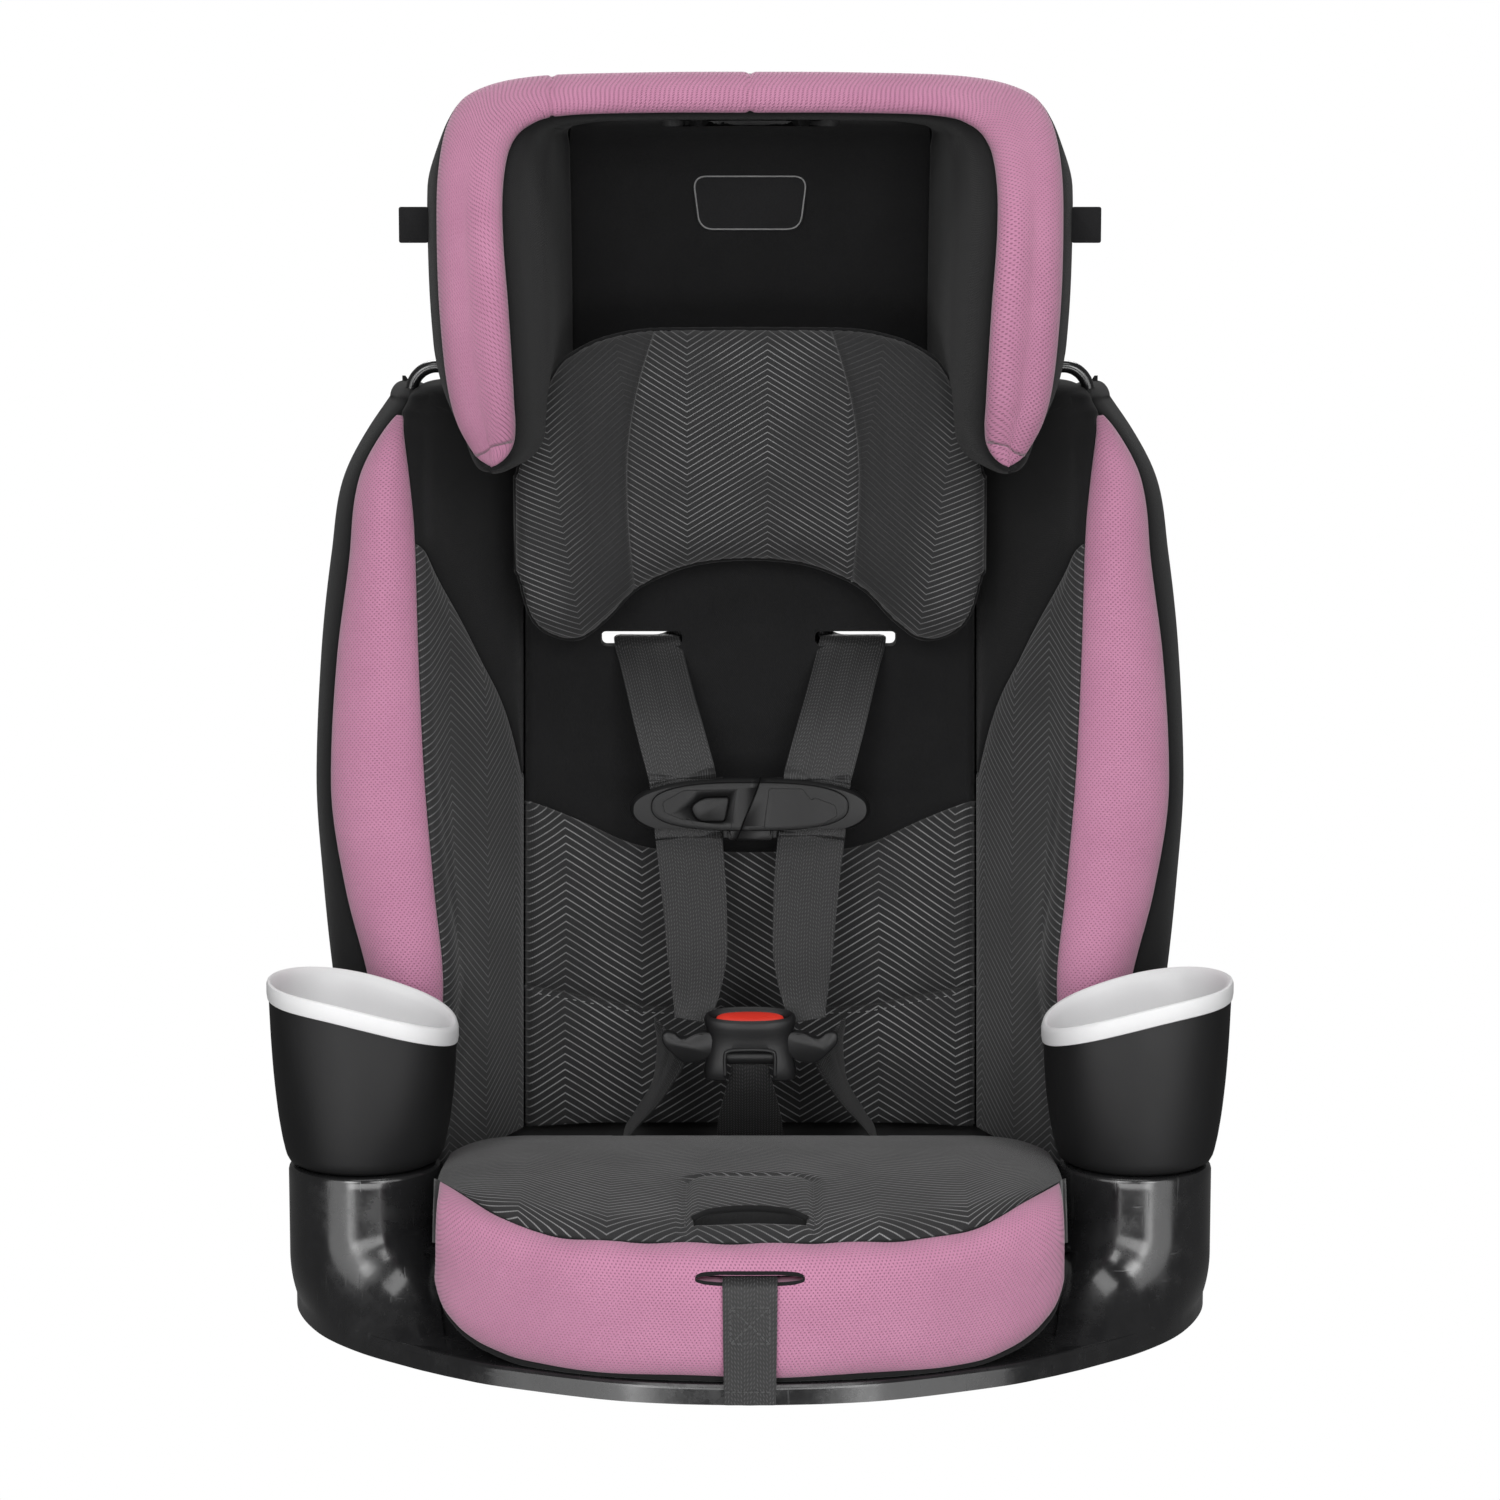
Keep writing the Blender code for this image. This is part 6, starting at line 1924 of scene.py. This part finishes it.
def make_buckle_button(y):
    rings = []
    for inset, z in ((0.0, 0.1380), (0.0, 0.1432), (0.0006, 0.1444), (0.0022, 0.1452), (0.0048, 0.1455)):
        ring = superellipse(0.0192 - inset, 0.0068 - inset * 0.75, 2.2, 80)
        rings.append([(x, y + dy, z + 0.22 * dy) for x, dy in ring])
    lofted("red_button", rings, RED, sharp=60, body="buckle_button_body", replaces=("buckle_button",),
           slot="button_red")


def make_tongue(name, side, y):
    """A tongue: its blade goes into the buckle and its wide shoulder carries the webbing."""
    outline = [(0.0200, -0.0052), (0.0262, -0.0100), (0.0370, -0.0112), (0.0450, -0.0050), (0.0492, 0.0000),
               (0.0496, 0.0042),
               (0.0470, 0.0066), (0.0425, 0.0058), (0.0380, 0.0030), (0.0290, 0.0064), (0.0200, 0.0052)]
    smooth_outline = rounded([(x, z, 0.0) for x, z in outline + outline[:1]],
                             np.linspace(0, len(outline), 67)[:-1])[:, :2]
    if side < 0:
        smooth_outline = smooth_outline[::-1] * (-1.0, 1.0)
    slab("buckle_tongue_" + name, smooth_outline,
         ((0.0016, y - 0.0052), (0.0004, y - 0.0044), (0.0, y - 0.0026), (0.0, y + 0.0018),
          (0.0010, y + 0.0030)),
         (0.0, 0.1300), BUCKLE_BLACK, body="root", replaces=("tongue_" + name,), slot="buckle_black")
    line = [(side * x, y - 0.0044, 0.1300 + z) for x,
            z in ((0.0262, 0.0052), (0.0310, 0.0050), (0.0352, 0.0028), (0.0378, 0.0006))]
    cord_mesh("buckle_tongue_rim_" + name, line, 0.0007, BUCKLE_BLACK, body="root", slot="buckle_black")


def make_belt_guides():
    """Broad hooks that rise from the shoulders behind the wings, for the vehicle's belt."""
    for name, side in SIDES:
        rings = []
        for angle in np.radians(np.linspace(118, -110, 80)):
            out = np.array((math.cos(angle), 0.0, math.sin(angle)))
            centre = np.array((0.1820, 0.1520, 0.4900)) + out * 0.0148
            ring = [centre + out * a * 0.0037 + np.array((0.0, b * 0.0070, 0.0)) for a,
                    b in superellipse(1.0, 1.0, 2.6, 28)]
            rings.append([(side * x, y, z) for x, y, z in ring])
        for end in (0, -1):
            middle = np.mean(rings[end], axis=0)
            rings[end] = [tuple(middle + (np.array(p) - middle) * 0.6) for p in rings[end]]
        lofted("belt_hook_" + name, rings, GLOSS, sharp=60, body="root", replaces=("belt_guide_" + name,),
               slot="shell_black")


def make_labels():
    """A plain badge with a thin edge on the headrest, and a plain tag on the edge of each wing."""
    y, z = 0.1826, 0.5990
    tilt = math.radians(9.0)
    corners = ((-0.0305, -0.0165), (0.0305, -0.0165), (0.0345, 0.0165), (-0.0345, 0.0165))
    outline = rounded_polygon(corners, 0.0085, 8)

    def lean(obj):
        for vert in obj.data.vertices:
            dz = vert.co.z - z
            vert.co.y += -dz * math.sin(tilt)
        return obj

    lean(slab("badge", outline, ((0.0, y + 0.0010), (0.0, y), (0.0006, y - 0.0004), (0.0020, y - 0.0004)),
              (0.0, z), TAG,
              body="root", replaces=("head_badge",), slot="badge_grey"))
    edge = [(x * 0.965, y - 0.0004, z + dz * 0.93) for x, dz in outline]
    lean(cord_mesh("badge_edge", edge, 0.00045, GREY_THREAD, sides=6, closed=True, body="root",
                   slot="badge_grey"))
    for name, side in SIDES:
        xs = sorted((side * 0.1796, side * 0.1960))
        corners = ((xs[0], -0.0100), (xs[1], -0.0100), (xs[1], 0.0100), (xs[0], 0.0100))
        slab("wing_tag_" + name, rounded_polygon(corners, 0.0014),
             ((0.0003, 0.0690), (0.0, 0.0692), (0.0, 0.0700), (0.0003, 0.0702)),
             (0.0, 0.5865), TAG, body="root", replaces=("side_tag_" + name,), slot="badge_grey")


def make_neck_panel():
    low, high = 0.4250, 0.5450
    y = back_y((low + high) / 2) + 0.0240
    rings = []
    for z in np.linspace(low, high, 41):
        lean = 0.14 * (z - (low + high) / 2)
        rib = 0.0012 * (0.5 + 0.5 * math.cos((z - low) / 0.012 * 2 * math.pi))
        ring = [(x, y + lean - 0.0015, z) for x in np.linspace(-0.100, 0.100, 31)]
        ring += [(x, y + lean + 0.0015 + (rib if abs(x) < 0.07 else 0.0), z) for x in np.linspace(0.100,
            -0.100, 31)]
        rings.append(ring)
    lofted("neck_moulding", rings, SATIN, sharp=30, body="root", replaces=("neck_panel",),
           slot="shell_black")


def keep_hidden_parts():
    """The parts that keep their modelled shape get their finish."""
    finishes = {
        "cup_screw_left": STEEL, "cup_screw_right": STEEL,
        "lap_anchor_left": STEEL, "lap_anchor_right": STEEL, "crotch_anchor": STEEL,
        "splitter_plate": STEEL,
        "adjuster_frame": STEEL, "adjuster_pin": STEEL, "adjuster_lever": BUCKLE_BLACK,
    }
    for node, finish in finishes.items():
        mesh = bpy.data.objects[node].data
        mesh.materials.clear()
        mesh.materials.append(finish)


# ---------------------------------------------------------------- room and light


ROOM_LIGHT, ROOM_MIRRORED = 0.33, 0.12


def make_camera():
    camera = bpy.data.cameras.new("camera")
    camera.sensor_width = 36.0
    camera.lens = 95.3
    obj = bpy.data.objects.new("camera", camera)
    bpy.context.scene.collection.objects.link(obj)
    obj.location = (0.0, -2.166, 0.593)
    obj.rotation_euler = (math.radians(90.0 - 7.7), 0.0, 0.0)
    bpy.context.scene.camera = obj


def make_room():
    world = bpy.data.worlds.new("studio")
    bpy.context.scene.world = world
    world.use_nodes = True
    nodes, links = world.node_tree.nodes, world.node_tree.links
    background = nodes["Background"]
    background.inputs["Color"].default_value = (1.0, 1.0, 1.0, 1.0)
    ray = nodes.new("ShaderNodeLightPath")
    # White behind the seat, soft light on cloth and a darker room in what the plastic mirrors.
    seen = nodes.new("ShaderNodeMapRange")
    seen.inputs["To Min"].default_value = ROOM_LIGHT
    seen.inputs["To Max"].default_value = 1.0
    links.new(ray.outputs["Is Camera Ray"], seen.inputs["Value"])
    mirrored = nodes.new("ShaderNodeMapRange")
    mirrored.inputs["To Max"].default_value = ROOM_MIRRORED
    links.new(ray.outputs["Is Glossy Ray"], mirrored.inputs["Value"])
    links.new(seen.outputs[0], mirrored.inputs["To Min"])
    links.new(mirrored.outputs[0], background.inputs["Strength"])
    bpy.context.scene.view_settings.view_transform = "Standard"

    softbox("key_left", (-0.9, -2.5, 1.5), (0.0, 0.0, 0.35), (1.0, 1.0), 18.0)
    softbox("key_right", (0.9, -2.5, 1.4), (0.0, 0.0, 0.30), (1.0, 1.0), 15.0)
    softbox("front_low", (0.0, -1.5, 0.05), (0.0, -0.2, 0.05), (1.3, 0.4), 8.0)
    softbox("overhead", (0.0, -0.7, 2.3), (0.0, 0.0, 0.30), (1.4, 1.0), 14.0)
    softbox("rear", (0.0, 2.2, 1.6), (0.0, 0.0, 0.35), (1.6, 1.2), 24.0)
    for name, side in SIDES:
        post = (side * CUP_X, -0.115, 0.10)
        softbox("wide_band_" + name, (side * 0.95, -1.18, 0.10), post, (0.85, 2.0), 11.0, cloth=False)
        softbox("thin_band_" + name, (side * -0.55, -1.32, 0.10), post, (0.26, 2.0), 6.0, cloth=False)


def softbox(name, place, aim, size, watts, cloth=True):
    """An area light; without cloth it only shows in what is glossy."""
    light = bpy.data.lights.new(name, "AREA")
    light.shape = "RECTANGLE"
    light.size, light.size_y = size
    light.energy = watts
    obj = bpy.data.objects.new(name, light)
    bpy.context.scene.collection.objects.link(obj)
    obj.location = place
    obj.rotation_euler = (Vector(aim) - Vector(place)).to_track_quat("-Z", "Y").to_euler()
    obj.visible_diffuse = cloth


make_back_shell()
make_braces()
make_back_pads()
make_bolsters()
make_head_shell()
make_head()
make_pillow()
make_cushion()
make_apron()
make_base()
make_cups()
make_harness()
make_chest_clip()
make_buckle()
make_belt_guides()
make_labels()
make_neck_panel()
keep_hidden_parts()
make_camera()
make_room()
